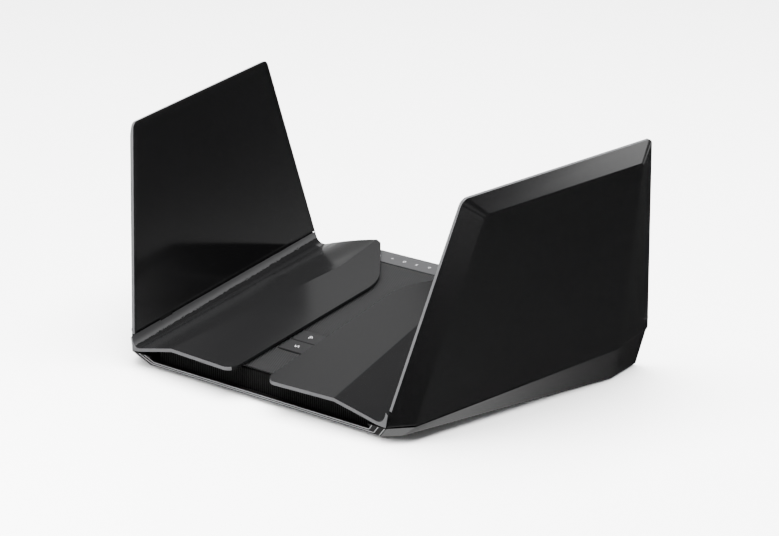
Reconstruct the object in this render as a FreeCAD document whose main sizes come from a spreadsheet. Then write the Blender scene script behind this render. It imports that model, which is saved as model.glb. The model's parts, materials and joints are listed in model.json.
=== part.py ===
"""Wireless router with two folding antenna wings, as separate pieces in one frame.

Millimetres, +Z up, +Y to the back, origin under the middle of the overall box.
Only the right-hand (+X) side is drawn; every left-hand piece is its mirror image.
"""
import FreeCAD, Part
import math
import os
import Sketcher
from FreeCAD import Matrix, Placement, Rotation, Vector

os.makedirs("parts", exist_ok=True)
doc = FreeCAD.newDocument("router")

# ---------------------------------------------------------------- driving dimensions
SIZES = {
    # wing frame: corner under the front edge, and the three angles that aim it
    "wing_x": 102.3, "wing_y": -99.3, "wing_z": 10.0,
    "wing_toe": 9.4, "wing_rise": 4.2, "wing_splay": 10.2,
    # wing outline in its own plane
    "wing_length": 205.6, "wing_height": 130.6, "wing_top_front": 45.0, "wing_rear_lean": 15.1,
    "rim_depth": 1.9, "rim_width": 1.9, "face_depth": 9.5, "wing_wall": 1.8,
    "face_low": 1.8, "face_top_drop": 7.6, "face_bottom_front": 12.7, "face_bottom_rear": 32.9,
    "face_top_front": 9.0, "face_top_rear": 15.0,
    "panel_thick": 1.6, "panel_gap": 0.15,
    "hollow_lean": 1.2, "recess_drop": 1.0,
    # hinge
    "hinge_height": 10.5, "roll_radius": 2.1, "roll_skim": 0.05, "roll_front_end": 4.5, "roll_rear_end": 11.0,
    "pin_radius": 1.0, "pin_gap": 0.05, "pin_length": 26.0,
    "knuckle_front": 36.0, "knuckle_rear": 164.0, "knuckle_width": 12.0, "knuckle_gap": 0.3,
    "roll_relief": 0.4, "lip_drop": 1.6, "lip_bevel": 1.0, "wall_gap": 0.4, "arm_height": 5.0,
    "cell_gap": 0.1, "cell_head": 3.0, "cell_skim": 0.02,
    # cover plates
    "plate_thick": 2.1, "plate_level": 40.4, "plate_slope": 0.2, "plate_inner": 4.0,
    "plate_front": -104.2, "crease_front_y": -102.2, "crease_front": 66.0,
    "crease_mid": 45.0, "crease_mid_y": 27.0, "crease_rear": 53.4,
    "cove_x": 95.0, "cove_z": 12.9, "cove_toe": 0.132, "cove_rise": 0.0853, "cove_turn": 0.28,
    "cove_reach": 0.82, "plan_reach": 60.0, "plan_tail_reach": 25.0, "plan_height": 80.0,
    "inner_front": 13.2, "inner_bend": 8.3, "inner_bend_y": 21.3,
    "notch_x": 43.7, "notch_y": 63.1, "tail_x": 120.7, "tail_y": 95.4,
    "plate_corner": 7.5, "notch_corner": 7.0, "bend_corner": 30.0, "wall_thick": 2.0,
    # base tray
    "foot_height": 1.0, "tray_wall": 2.2, "tray_floor": 2.0, "tray_gap": 0.5,
    "lip_half": 92.8, "lip_y": -93.7, "lip_height": 4.6, "lip_window": 88.0,
    "window_reach": 14.0, "window_depth": 20.0, "room_height": 60.0, "skin_over": 0.02,
    "bay_lap": 1.0, "bay_room": 3.0, "bay_gap": 0.2, "bay_sill": 0.1,
    "side_front_x": 101.7, "side_front_y": -84.5, "side_rear_x": 132.4, "side_rear_y": 71.3,
    "tail_foot_x": 127.5, "tail_foot_y": 103.0, "bay_half": 86.0, "bay_y": 64.0,
    "shoulder_front_x": 114.2, "shoulder_front_y": -88.4,
    "shoulder_rear_x": 139.6, "shoulder_rear_y": 69.3, "shoulder_tail_x": 133.9, "shoulder_tail_y": 104.3,
    # spine
    "grille_drop": 2.6, "grille_thick": 1.6, "grille_front": -93.7, "grille_half": 15.5,
    "grille_flare_y": 14.0, "grille_rear_half": 46.0, "grille_rear_y": 47.6,
    "slot_width": 1.4, "slot_length": 7.5, "slot_rib": 0.9, "slot_pitch": 3.2, "slot_count": 24,
    "slot_start": -38.0,
    "key_width": 20.0, "key_depth": 11.6, "key_thick": 3.0, "key_gap": 0.35, "key_proud": 0.4,
    "key_front_y": -62.8, "key_clear": 0.4, "key_pitch": 12.0, "key_travel": 0.6, "key_trim": 0.1,
    "key_board_width": 24.0, "key_board_depth": 30.0, "key_board_thick": 1.2, "key_board_lead": 9.0,
    "tact_width": 5.0, "tact_height": 2.0, "tact_gap": 0.1,
    "bar_front": 48.6, "bar_depth": 13.0, "bar_half": 46.0, "bar_thick": 4.0,
    "light_count": 8, "light_pitch": 10.0, "light_chip": 2.0, "light_chip_tall": 0.8,
    "light_chip_drop": 1.2, "light_board_trim": 1.5, "light_board_thick": 1.2, "light_board_drop": 2.6,
    "light_board_side": 3.0,
    # deck frame under the spine
    "deck_drop": 11.0, "deck_thick": 2.0, "deck_half": 64.0, "deck_front": -82.0, "deck_rear": 58.0,
    "deck_rib": 24.0, "deck_window": 28.0, "deck_front_rail": 14.0, "deck_rear_rail": 12.0,
    # front vent
    "vent_y": -91.3, "vent_thick": 1.8, "vent_half": 87.0, "vent_rib": 2.2, "vent_top_gap": 0.6,
    "vent_pitch": 5.0, "vent_side": 11.2, "vent_knee": 3.0, "vent_sill": 6.4, "vent_head": 1.6,
    # rear panel and sockets
    "panel_depth": 2.0, "panel_bottom": 3.4, "panel_side_top": 33.0, "panel_top": 44.0,
    "panel_shoulder": 46.0, "panel_side_gap": 1.4,
    "socket_floor": 9.0, "jack_width": 15.8, "jack_height": 13.4, "jack_depth": 21.0, "jack_pitch": 16.6,
    "jack_mouth": 11.8, "jack_mouth_height": 8.4, "jack_mouth_depth": 14.0, "jack_sill": 2.2,
    "lan_count": 5, "lan_first": -69.0, "wan_x": 18.6,
    "usb_width": 14.6, "usb_height": 7.2, "usb_depth": 17.0, "usb_mouth": 12.6, "usb_mouth_height": 5.2,
    "usb_x": 38.0, "usb_rise": 9.0, "usb_mouth_depth": 12.0, "dc_back": 3.0, "dc_pin_back": 1.0,
    "dc_pin_recess": 2.5,
    "dc_x": 55.0, "dc_width": 9.4, "dc_height": 11.0, "dc_depth": 13.6, "dc_bore": 3.2, "dc_pin": 1.05,
    "power_x": 70.0, "power_width": 8.6, "power_height": 8.6, "power_travel": 1.6, "power_proud": 2.2,
    "power_depth": 6.0, "power_switch_depth": 10.0, "power_switch_side": 0.8, "power_switch_head": 1.4,
    "reset_x": 80.5, "reset_radius": 1.1, "reset_travel": 0.6, "reset_rise": 4.0, "reset_gap": 0.25,
    "reset_length": 6.0, "reset_recess": 0.6, "reset_switch_width": 6.0, "reset_switch_depth": 4.0,
    "reset_switch_height": 7.0,
    "light_x": 80.5, "light_z": 24.0, "light_throw": 2.4, "window_gap": 0.4, "light_window": 6.4,
    "knob_width": 2.6, "knob_height": 2.4, "knob_depth": 6.4, "knob_inside": 5.0,
    "light_switch_width": 9.0, "light_switch_depth": 3.6, "light_switch_height": 6.0,
    "light_switch_lead": 6.0, "light_switch_back": 8.8, "switch_gap": 0.1,
    # board and what stands on it
    "board_z": 7.0, "board_thick": 1.6, "board_front": -84.0, "board_rear": 60.6, "board_half": 82.0,
    "boss_radius": 3.4, "screw_radius": 1.5, "screw_length": 7.0, "screw_head": 2.8,
    "head_thick": 1.2, "head_gap": 0.2, "shank_gap": 0.05, "hole_gap": 0.2, "foot_gap": 0.1,
    "boss_x": 74.0, "boss_front_y": -70.0, "boss_rear_y": 28.0,
    "sink_fin": 1.4, "sink_base": 2.0, "sink_lift": 2.2, "sink_lap": 0.1, "chip_thick": 2.1,
    "part_gap": 0.05, "cpu_y": -18.0, "cpu_width": 30.0, "cpu_sink_width": 46.0, "cpu_sink_depth": 44.0,
    "cpu_sink_tall": 6.4, "cpu_fins": 10, "radio_x": 48.0, "radio_y": -34.0, "radio_width": 18.0,
    "radio_sink_width": 30.0, "radio_sink_depth": 34.0, "radio_sink_tall": 4.2, "radio_fins": 7,
    "can_x": 34.0, "can_y": 15.0, "can_width": 26.0, "can_depth": 18.0, "can_thick": 3.0,
    "mid_can_y": 24.0, "mid_can_width": 24.0, "mid_can_depth": 14.0,
    "foot_radius": 7.0, "foot_depth": 1.6, "foot_front_x": 82.0, "foot_front_y": -78.0,
    "foot_rear_x": 112.0, "foot_rear_y": 75.0,
    "slot_mount_x": 62.5, "slot_mount_y": -10.0, "slot_head": 4.2, "slot_neck": 2.2, "slot_drop": 8.0,
    "antenna_thick": 0.8, "antenna_gap": 0.3, "lead_radius": 0.6, "lead_gap": 0.05, "lead_start": 1.0,
    "lead_lap": 8.0,
    # printed antennas: start along the wing, height of the foot, width and drop from the wing's top
    "low_front_left": 62.0, "low_front_foot": 24.0, "low_front_wide": 40.0, "low_front_drop": 32.6,
    "high_front_left": 100.0, "high_front_foot": 26.0, "high_front_wide": 22.0, "high_front_drop": 58.6,
    "high_rear_left": 128.0, "high_rear_foot": 26.0, "high_rear_wide": 22.0, "high_rear_drop": 58.6,
    "low_rear_left": 152.0, "low_rear_foot": 40.0, "low_rear_wide": 22.0, "low_rear_drop": 16.6,
}
PAST = 1.0          # how far a cutting tool runs on past the material

dims = doc.addObject("Spreadsheet::Sheet", "Dims")
for row, (alias, number) in enumerate(SIZES.items(), start=1):
    dims.set("A%d" % row, alias)
    dims.set("B%d" % row, str(number))
    dims.setAlias("B%d" % row, alias)
doc.recompute()


class Dim:
    """A length that knows its value now and the expression that gives it."""

    def __init__(self, value, text):
        self.value = float(value)
        self.text = text

    @staticmethod
    def of(other):
        return other if isinstance(other, Dim) else Dim(other, repr(float(other)))

    def __add__(self, other):
        other = Dim.of(other)
        return Dim(self.value + other.value, "(%s + %s)" % (self.text, other.text))

    def __sub__(self, other):
        other = Dim.of(other)
        return Dim(self.value - other.value, "(%s - %s)" % (self.text, other.text))

    def __mul__(self, other):
        other = Dim.of(other)
        return Dim(self.value * other.value, "(%s * %s)" % (self.text, other.text))

    def __truediv__(self, other):
        other = Dim.of(other)
        return Dim(self.value / other.value, "(%s / %s)" % (self.text, other.text))

    def __neg__(self):
        return Dim(-self.value, "(-1 * %s)" % self.text)

    __radd__ = __add__
    __rmul__ = __mul__


def dim(alias):
    """The sheet's cell of that alias, as a Dim."""
    return Dim(dims.get(alias), "Dims.%s" % alias)


def size(alias):
    """The sheet's cell of that alias, as a plain number."""
    return float(dims.get(alias))


# ---------------------------------------------------------------- small builders
def origin_plane(body, role):
    for feature in body.Origin.OriginFeatures:
        if feature.Role == role:
            return feature
    raise ValueError(role)


def new_body(label):
    body = doc.addObject("PartDesign::Body", label)
    body.Label = label
    return body


def bind(target, path, length):
    target.setExpression(path, Dim.of(length).text)


def outline(body, label, points, role="XY_Plane", lift=0.0, tilt=0.0):
    """A closed polygon sketch whose corners are bound to the sheet."""
    sketch = body.newObject("Sketcher::SketchObject", label)
    sketch.AttachmentSupport = (origin_plane(body, role), "")
    sketch.MapMode = "FlatFace"
    lift = Dim.of(lift)
    tilt = Dim.of(tilt)
    sketch.AttachmentOffset = Placement(Vector(0, 0, lift.value), Rotation(Vector(1, 0, 0), tilt.value))
    bind(sketch, "AttachmentOffset.Base.z", lift)
    corners = [(Dim.of(across), Dim.of(along)) for across, along in points]
    spots = [Vector(across.value, along.value, 0) for across, along in corners]
    count = len(spots)
    for index in range(count):
        sketch.addGeometry(Part.LineSegment(spots[index], spots[(index + 1) % count]), False)
    for index in range(count):
        following = (index + 1) % count
        sketch.addConstraint(Sketcher.Constraint("Coincident", index, 2, following, 1))
    for index, (across, along) in enumerate(corners):
        for kind, length, axis in (("DistanceX", across, -2), ("DistanceY", along, -1)):
            if abs(length.value) < 1e-9:
                sketch.addConstraint(Sketcher.Constraint("PointOnObject", index, 1, axis))
                continue
            number = sketch.addConstraint(Sketcher.Constraint(kind, -1, 1, index, 1, length.value))
            bind(sketch, "Constraints[%d]" % number, length)
    return sketch


def disc(body, label, centre, radius, role="XY_Plane", lift=0.0):
    """A circle sketch bound to the sheet."""
    sketch = body.newObject("Sketcher::SketchObject", label)
    sketch.AttachmentSupport = (origin_plane(body, role), "")
    sketch.MapMode = "FlatFace"
    lift = Dim.of(lift)
    sketch.AttachmentOffset = Placement(Vector(0, 0, lift.value), Rotation())
    bind(sketch, "AttachmentOffset.Base.z", lift)
    across, along = Dim.of(centre[0]), Dim.of(centre[1])
    radius = Dim.of(radius)
    middle = Vector(across.value, along.value, 0)
    sketch.addGeometry(Part.Circle(middle, Vector(0, 0, 1), radius.value), False)
    for kind, length, axis in (("DistanceX", across, -2), ("DistanceY", along, -1)):
        if abs(length.value) < 1e-9:
            sketch.addConstraint(Sketcher.Constraint("PointOnObject", 0, 3, axis))
            continue
        number = sketch.addConstraint(Sketcher.Constraint(kind, -1, 1, 0, 3, length.value))
        bind(sketch, "Constraints[%d]" % number, length)
    number = sketch.addConstraint(Sketcher.Constraint("Radius", 0, radius.value))
    bind(sketch, "Constraints[%d]" % number, radius)
    return sketch


def extrude(body, kind, sketch, length, reverse=False):
    """A Pad or a Pocket of a sketch, its length bound to the sheet."""
    feature = body.newObject("PartDesign::%s" % kind, sketch.Label + "_" + kind.lower())
    feature.Profile = sketch
    length = Dim.of(length)
    feature.Length = length.value
    bind(feature, "Length", length)
    feature.Reversed = reverse
    return feature


def skin(body, kind, first, second):
    """A ruled loft between two sketches."""
    feature = body.newObject("PartDesign::%s" % kind, first.Label + "_skin")
    feature.Profile = first
    feature.Sections = [second]
    feature.Ruled = True
    return feature


def box(label, length, width, height, corner):
    """A Part::Box with bound sizes and a bound place."""
    item = doc.addObject("Part::Box", label)
    item.Label = label
    for name, value in (("Length", length), ("Width", width), ("Height", height)):
        bind(item, name, value)
    place(item, corner)
    return item


def place(item, corner):
    for axis, value in zip("xyz", corner):
        bind(item, "Placement.Base.%s" % axis, value)


def cylinder(label, radius, height, corner, turn=None):
    """A Part::Cylinder with bound sizes and a bound place, along +Z unless turned."""
    item = doc.addObject("Part::Cylinder", label)
    item.Label = label
    bind(item, "Radius", radius)
    bind(item, "Height", height)
    if turn is not None:
        item.Placement = Placement(Vector(0, 0, 0), turn)
    place(item, corner)
    return item


def cut(label, base, tools):
    """Base minus every tool."""
    item = doc.addObject("Part::Cut", label)
    item.Label = label
    item.Base = base
    item.Tool = tools[0] if len(tools) == 1 else fuse(label + "_tools", tools)
    return item


def fuse(label, pieces):
    item = doc.addObject("Part::MultiFuse", label)
    item.Label = label
    item.Shapes = pieces
    return item


def group(label, pieces):
    """Separate solids kept in one node."""
    item = doc.addObject("Part::Compound", label)
    item.Label = label
    item.Links = pieces
    return item


def mirrored(label, source):
    item = doc.addObject("Part::Mirroring", label)
    item.Label = label
    item.Source = source
    item.Normal = Vector(1, 0, 0)
    item.Base = Vector(0, 0, 0)
    return item


BACKWARD = Rotation(Vector(1, 0, 0), -90)     # turns +Z to +Y
nodes = []


def keep(item):
    nodes.append(item)
    return item


def both_sides(name, item):
    """Names a right-hand piece and adds its mirror image."""
    item.Label = "right_" + name
    keep(item)
    return keep(mirrored("left_" + name, item))


# ---------------------------------------------------------------- the wing's own frame
def wing_axes():
    """Unit vectors along the wing's foot, up its face and out of its face."""
    toe, rise, splay = (math.radians(size(name)) for name in ("wing_toe", "wing_rise", "wing_splay"))
    along = Vector(math.sin(toe) * math.cos(rise), math.cos(toe) * math.cos(rise), math.sin(rise))
    level = Vector(math.cos(toe), -math.sin(toe), 0)
    upright = level.cross(along)
    out = level * math.cos(splay) - upright * math.sin(splay)
    up = upright * math.cos(splay) + level * math.sin(splay)
    return along, up, out


ALONG, UP, OUT = wing_axes()
CORNER = Vector(size("wing_x"), size("wing_y"), size("wing_z"))
WING = Placement(Matrix(ALONG.x, UP.x, OUT.x, CORNER.x, ALONG.y, UP.y, OUT.y, CORNER.y,
                        ALONG.z, UP.z, OUT.z, CORNER.z, 0, 0, 0, 1))


def on_wing(across_y, up, out):
    """The point at height `up` and depth `out` of the wing's frame that lies in the plane y = across_y."""
    start = CORNER + UP * up + OUT * out
    return start + ALONG * ((across_y - start.y) / ALONG.y)


# slope of the plane that holds the wing's foot edge and runs level from side to side
FOOT_SLOPE = ALONG.z / ALONG.y


def foot_level(y):
    """Height of the tray's top edge at depth y."""
    return size("wing_z") - size("tray_gap") + FOOT_SLOPE * (y - size("wing_y"))


# ---------------------------------------------------------------- wings
def wing_outer_shell():
    """Faceted tub: a shallow rim, then bevels up to the flat outer face, hollow from inside."""
    body = new_body("wing_outer_shell")
    length, height = dim("wing_length"), dim("wing_height")
    top_front, top_rear = dim("wing_top_front"), length - dim("wing_rear_lean")
    rim = [(0, 0), (length, 0), (top_rear, height), (top_front, height)]
    face_low, face_high = dim("face_low"), height - dim("face_top_drop")
    low_left, low_right = dim("face_bottom_front"), length - dim("face_bottom_rear")
    high_left, high_right = top_front + dim("face_top_front"), top_rear - dim("face_top_rear")
    face = [(low_left, face_low), (low_right, face_low), (high_right, face_high), (high_left, face_high)]
    wall, depth = dim("wing_wall"), dim("face_depth")
    skin(body, "AdditiveLoft", outline(body, "rim_edge", rim), outline(body, "face_edge", face, lift=depth))
    hinge = dim("hinge_height")
    lean = top_front / height
    tail = (length - top_rear) / height
    band = [(lean * hinge, hinge), (length - tail * hinge, hinge), (top_rear, height), (top_front, height)]
    extrude(body, "Pad", outline(body, "rim_band", band), dim("rim_depth"), reverse=True)
    inset = dim("rim_width")
    lean_in = inset * dim("hollow_lean")
    hollow_rim = [(lean_in, inset), (length - lean_in, inset),
                  (top_rear - inset, height - inset), (top_front + inset, height - inset)]
    hollow_face = [(low_left + wall, face_low + wall), (low_right - wall, face_low + wall),
                   (high_right - wall, face_high - wall), (high_left + wall, face_high - wall)]
    skin(body, "SubtractiveLoft", outline(body, "hollow_edge", hollow_rim),
         outline(body, "hollow_face", hollow_face, lift=depth - wall))
    low = hinge - dim("recess_drop")
    recess = [(lean * low + inset, low), (length - tail * low - inset, low),
              (top_rear - inset, height - inset), (top_front + inset, height - inset)]
    sketch = outline(body, "panel_recess", recess, lift=-dim("rim_depth"))
    extrude(body, "Pocket", sketch, dim("rim_depth"), True)
    body.Placement = WING
    return body


def wing_inner_panel():
    """Flat panel in the shell's recess, with the hinge roll along its foot and notches for the knuckles."""
    body = new_body("wing_inner_panel")
    length, height, hinge = dim("wing_length"), dim("wing_height"), dim("hinge_height")
    top_front, top_rear = dim("wing_top_front"), length - dim("wing_rear_lean")
    inset = dim("rim_width") + dim("panel_gap")
    lean = top_front / height
    tail = (length - top_rear) / height
    low_front, low_rear = lean * hinge + inset, length - tail * hinge - inset
    panel = [(low_front, hinge), (low_rear, hinge), (top_rear - inset, height - inset),
             (top_front + inset, height - inset)]
    depth, thick, roll = dim("rim_depth"), dim("panel_thick"), dim("roll_radius")
    extrude(body, "Pad", outline(body, "panel_edge", panel, lift=-depth), thick)
    start = low_front + dim("roll_front_end")
    run = low_rear - dim("roll_rear_end") - start
    ring = disc(body, "roll_ring", (hinge, roll - depth), roll - dim("roll_skim"), "YZ_Plane", start)
    extrude(body, "Pad", ring, run)
    for place_name in ("knuckle_front", "knuckle_rear"):
        middle, half = dim(place_name), dim("knuckle_width") / 2 + dim("knuckle_gap")
        reach = roll + dim("roll_relief")
        notch = [(middle - half, hinge - reach), (middle + half, hinge - reach),
                 (middle + half, hinge + reach), (middle - half, hinge + reach)]
        sketch = outline(body, place_name + "_notch", notch, lift=-depth - PAST)
        extrude(body, "Pocket", sketch, (roll + PAST) * 2, True)
    pin = disc(body, "pin_hole", (hinge, roll - depth), dim("pin_radius"), "YZ_Plane", start)
    extrude(body, "Pocket", pin, run, True)
    body.Placement = WING
    return body


def hinge_line():
    """Height and depth of the hinge axis in the wing's frame."""
    return dim("hinge_height"), dim("roll_radius") - dim("rim_depth")


def wing_rod(label, middle, radius, length):
    """A bar along the hinge axis, centred at `middle` along the wing."""
    up, out = hinge_line()
    body = new_body(label)
    sketch = disc(body, label + "_ring", (up, out), radius, "YZ_Plane", middle - length / 2)
    extrude(body, "Pad", sketch, length)
    body.Placement = WING
    return body


def hinge_pins():
    pieces = [wing_rod("pin_" + name, dim(name), dim("pin_radius"), dim("pin_length"))
              for name in ("knuckle_front", "knuckle_rear")]
    return group("hinge_pins", pieces)


def hinge_bracket(name):
    """Fixed knuckle: a barrel round the pin on an arm that stands in the cover plate's wall."""
    up, out = hinge_line()
    body = new_body("bracket_" + name)
    middle, width = dim(name), dim("knuckle_width")
    ring = disc(body, name + "_barrel", (up, out), dim("roll_radius"), "YZ_Plane", middle - width / 2)
    extrude(body, "Pad", ring, width)
    inner, outer = -dim("rim_depth"), -dim("wall_gap")
    arm = [(dim("arm_height"), inner), (up, inner), (up, outer), (dim("arm_height"), outer)]
    extrude(body, "Pad", outline(body, name + "_arm", arm, "YZ_Plane", middle - width / 2), width)
    bore = disc(body, name + "_bore", (up, out), dim("pin_radius") + dim("pin_gap"), "YZ_Plane",
                middle - width / 2 - PAST)
    extrude(body, "Pocket", bore, width + PAST * 2, True)
    body.Placement = WING
    return body


def hinge_brackets():
    return group("hinge_brackets", [hinge_bracket(name) for name in ("knuckle_front", "knuckle_rear")])


def wing_plate(label, points, lift, thick):
    """A flat polygon in the wing's frame."""
    body = new_body(label)
    extrude(body, "Pad", outline(body, label + "_edge", points, lift=lift), thick)
    body.Placement = WING
    return body


ANTENNAS = ("low_front", "high_front", "high_rear", "low_rear")


def antenna_boards():
    """Four printed antennas clipped to the back of the inner panel."""
    lift = dim("panel_thick") - dim("rim_depth") + dim("antenna_gap")
    pieces = []
    for name in ANTENNAS:
        left, low, width = (dim(name + end) for end in ("_left", "_foot", "_wide"))
        high = dim("wing_height") - dim(name + "_drop")
        points = [(left, low), (left + width, low), (left + width, high), (left, high)]
        pieces.append(wing_plate(name + "_board", points, lift, dim("antenna_thick")))
    return group("antenna_boards", pieces)


def antenna_leads():
    """A coaxial lead from each antenna board down to the hinge."""
    behind = dim("antenna_gap") + dim("antenna_thick") + dim("lead_radius") + dim("lead_gap")
    rise = dim("panel_thick") - dim("rim_depth") + behind
    pieces = []
    start = dim("hinge_height") + dim("roll_radius") + dim("lead_start")
    for name in ANTENNAS:
        body = new_body(name + "_lead")
        middle = dim(name + "_left") + dim(name + "_wide") / 2
        ring = disc(body, name + "_lead_ring", (middle, rise), dim("lead_radius"), "XZ_Plane", -start)
        extrude(body, "Pad", ring, dim(name + "_foot") + dim("lead_lap") - start, True)
        body.Placement = WING
        pieces.append(body)
    return group("antenna_leads", pieces)


# ---------------------------------------------------------------- cover plates
def plate_height(y):
    return size("plate_level") + size("plate_slope") * y


def plate_section(y, crease):
    """The cover plate's outline in the plane at depth y: inner panel, strip, cove, wall and underside."""
    thick = size("plate_thick")
    top = plate_height(y)
    behind = y - size("wing_y")
    cove = Vector(size("cove_x") + size("cove_toe") * behind, y, size("cove_z") + size("cove_rise") * behind)
    inner = Vector(size("plate_inner"), y, top)
    ridge = Vector(crease, y, top)
    lip_up = size("hinge_height") - size("lip_drop")
    lip = on_wing(y, lip_up, -size("rim_depth"))
    lip_back = on_wing(y, lip_up - size("lip_bevel"), -size("wall_gap"))
    wall_foot = on_wing(y, 0.0, -size("wall_gap"))
    wall_inside = wall_foot - Vector(size("wall_thick"), 0, 0)
    turn_x = cove.x + (lip.x - cove.x) * size("cove_reach")
    turn = Vector(turn_x, y, cove.z - size("cove_turn") * (turn_x - cove.x))
    drop = Vector(0, 0, -thick)
    bow = Part.BezierCurve()
    bow.setPoles([cove, turn, lip])
    straight = [(lip, lip_back), (lip_back, wall_foot), (wall_foot, wall_inside), (wall_inside, cove + drop),
                (cove + drop, ridge + drop), (ridge + drop, inner + drop), (inner + drop, inner)]
    edges = [Part.makeLine(inner, ridge), Part.makeLine(ridge, cove), bow.toShape()]
    edges += [Part.makeLine(start, end) for start, end in straight]
    return Part.Wire(edges)


def plate_blank():
    """Ruled skin through three sections, front to back."""
    limit = size("plate_front") - PAST
    sections = [plate_section(limit, size("crease_front")),
                plate_section(size("crease_mid_y"), size("crease_mid")),
                plate_section(-limit, size("crease_rear"))]
    item = doc.addObject("Part::Feature", "plate_blank")
    item.Shape = Part.makeLoft(sections, True, True)
    item.Placement = Placement()
    return item


def plate_outline():
    """Upright prism with the plate's plan: bowed front, tapering inner edge, cut corner and swept tail."""
    body = new_body("plate_plan")
    front, crease_y = dim("plate_front"), dim("crease_front_y")
    sweep = (dim("wing_y") - crease_y) / (dim("wing_x") - dim("crease_front"))
    reach, tail_reach = dim("plan_reach"), dim("plan_tail_reach")
    far = dim("tail_x") + tail_reach
    tail_slope = (dim("tail_y") - dim("notch_y")) / (dim("tail_x") - dim("notch_x"))
    points = [(dim("inner_front"), front), (dim("crease_front"), crease_y),
              (dim("crease_front") + reach, crease_y + sweep * reach),
              (far, dim("side_front_y")), (far, dim("tail_y") + tail_slope * tail_reach),
              (dim("notch_x"), dim("notch_y")), (dim("inner_bend"), dim("inner_bend_y"))]
    extrude(body, "Pad", outline(body, "plan_edge", points), dim("plan_height"))
    doc.recompute()
    for label, corner_point, radius in (("front_corner", points[0], dim("plate_corner")),
                                        ("notch_round", points[5], dim("notch_corner")),
                                        ("bend_round", points[6], dim("bend_corner"))):
        round_upright(body, label, corner_point, radius)
    return body


def round_upright(body, label, corner, radius):
    """Fillet on the upright edge that stands at a plan corner."""
    base = body.Tip
    across, along = Dim.of(corner[0]).value, Dim.of(corner[1]).value
    for number, edge in enumerate(base.Shape.Edges, start=1):
        ends = [vertex.Point for vertex in edge.Vertexes]
        if len(ends) == 2 and all(math.hypot(end.x - across, end.y - along) < 1e-6 for end in ends):
            fillet = body.newObject("PartDesign::Fillet", label)
            fillet.Base = (base, ["Edge%d" % number])
            fillet.Radius = radius.value
            bind(fillet, "Radius", radius)
            doc.recompute()
            return
    raise ValueError(label)


def wing_cell(label, name):
    """The room that a hinge arm takes in the cover plate's wall."""
    gap = dim("cell_gap")
    middle, half = dim(name), dim("knuckle_width") / 2 + gap
    low, high = dim("arm_height") - gap, dim("hinge_height") + dim("cell_head")
    points = [(middle - half, low), (middle + half, low), (middle + half, high), (middle - half, high)]
    return wing_plate(label, points, -dim("rim_depth") - dim("cell_skim"), dim("rim_depth") + PAST)


def cover_plate():
    halves = [plate_blank(), plate_outline()]
    common = doc.addObject("Part::MultiCommon", "plate_trim")
    common.Shapes = halves
    cells = [wing_cell("cell_" + name, name) for name in ("knuckle_front", "knuckle_rear")]
    return cut("cover_plate", common, cells)


# ---------------------------------------------------------------- base tray
def mirror_loop(points):
    """A closed loop from the right-hand corners, front to back, and their mirror images."""
    return list(points) + [(-Dim.of(across), along) for across, along in reversed(points)]


# inward move of each tray corner, front to back, for one millimetre of wall
TRAY_MOVES = ((-1.0, 1.0), (-1.1, 0.5), (-1.1, -0.3), (-1.2, -1.6), (0.8, -1.0))


def tray_loop(kind, inset=0.0):
    """Right-hand corners of the tray's foot or shoulder, moved in by a wall."""
    names = {"foot": (("lip_half", "lip_y"), ("side_front_x", "side_front_y"), ("side_rear_x", "side_rear_y"),
                      ("tail_foot_x", "tail_foot_y"), ("bay_half", "bay_y")),
             "shoulder": (("wing_x", "wing_y"), ("shoulder_front_x", "shoulder_front_y"),
                          ("shoulder_rear_x", "shoulder_rear_y"), ("shoulder_tail_x", "shoulder_tail_y"),
                          ("bay_half", "bay_y"))}[kind]
    inset = Dim.of(inset)
    points = []
    for (across, along), (move_x, move_y) in zip(names, TRAY_MOVES):
        points.append((dim(across) + inset * move_x, dim(along) + inset * move_y))
    return mirror_loop(points)


def slope_angle():
    return math.degrees(math.atan(FOOT_SLOPE))


def tray_skin(body, kind, low, inset):
    """A ruled skin from a level foot up to the tilted shoulder plane."""
    tilt = slope_angle()
    stretch = math.sqrt(1.0 + FOOT_SLOPE ** 2)
    foot = outline(body, "foot_loop_" + kind, tray_loop("foot", inset), lift=low)
    shoulder_points = [(across, along * stretch) for across, along in tray_loop("shoulder", inset)]
    level = foot_level(0.0) + (0.0 if kind == "AdditiveLoft" else size("skin_over"))
    shoulder = outline(body, "shoulder_loop_" + kind, shoulder_points, lift=level, tilt=tilt)
    return skin(body, kind, foot, shoulder)


def base_tray():
    """Open tray with undercut sides, a low front lip, screw bosses, wall-mount slots and foot recesses."""
    body = new_body("tray_skin")
    wall = dim("tray_wall")
    floor = dim("foot_height") + dim("tray_floor")
    tray_skin(body, "AdditiveLoft", dim("foot_height"), 0.0)
    tray_skin(body, "SubtractiveLoft", floor, wall)
    half, lip_top = dim("lip_window"), dim("foot_height") + dim("lip_height")
    window = box("lip_window_room", half * 2, dim("window_depth"), dim("room_height"),
                 (-half, dim("lip_y") - dim("window_reach"), lip_top))
    bay = dim("bay_half") - dim("bay_lap")
    bay_start = dim("bay_y") - dim("panel_depth") - dim("bay_gap")
    rear = box("bay_room", bay * 2, dim("panel_depth") + dim("bay_room"), dim("room_height"),
               (-bay, bay_start, dim("panel_bottom") - dim("bay_sill")))
    bosses = []
    for across, along in boss_places():
        bosses.append(cylinder("boss", dim("boss_radius"), dim("board_z") - floor, (across, along, floor)))
    whole = fuse("tray_body", [body] + bosses)
    tools = [window, rear]
    head_level = dim("foot_height") + dim("head_thick") + dim("head_gap")
    for across, along in boss_places():
        tools.append(cylinder("boss_hole", dim("screw_radius"), dim("board_z"), (across, along, 0.0)))
        tools.append(cylinder("head_room", dim("screw_head") + dim("head_gap"), head_level,
                              (across, along, 0.0)))
    for across, along in foot_places():
        tools.append(cylinder("foot_room", dim("foot_radius") + dim("foot_gap"), dim("foot_depth"),
                              (across, along, 0.0)))
    tools += mount_slots()
    return keep(cut("base_tray", whole, tools))


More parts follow.
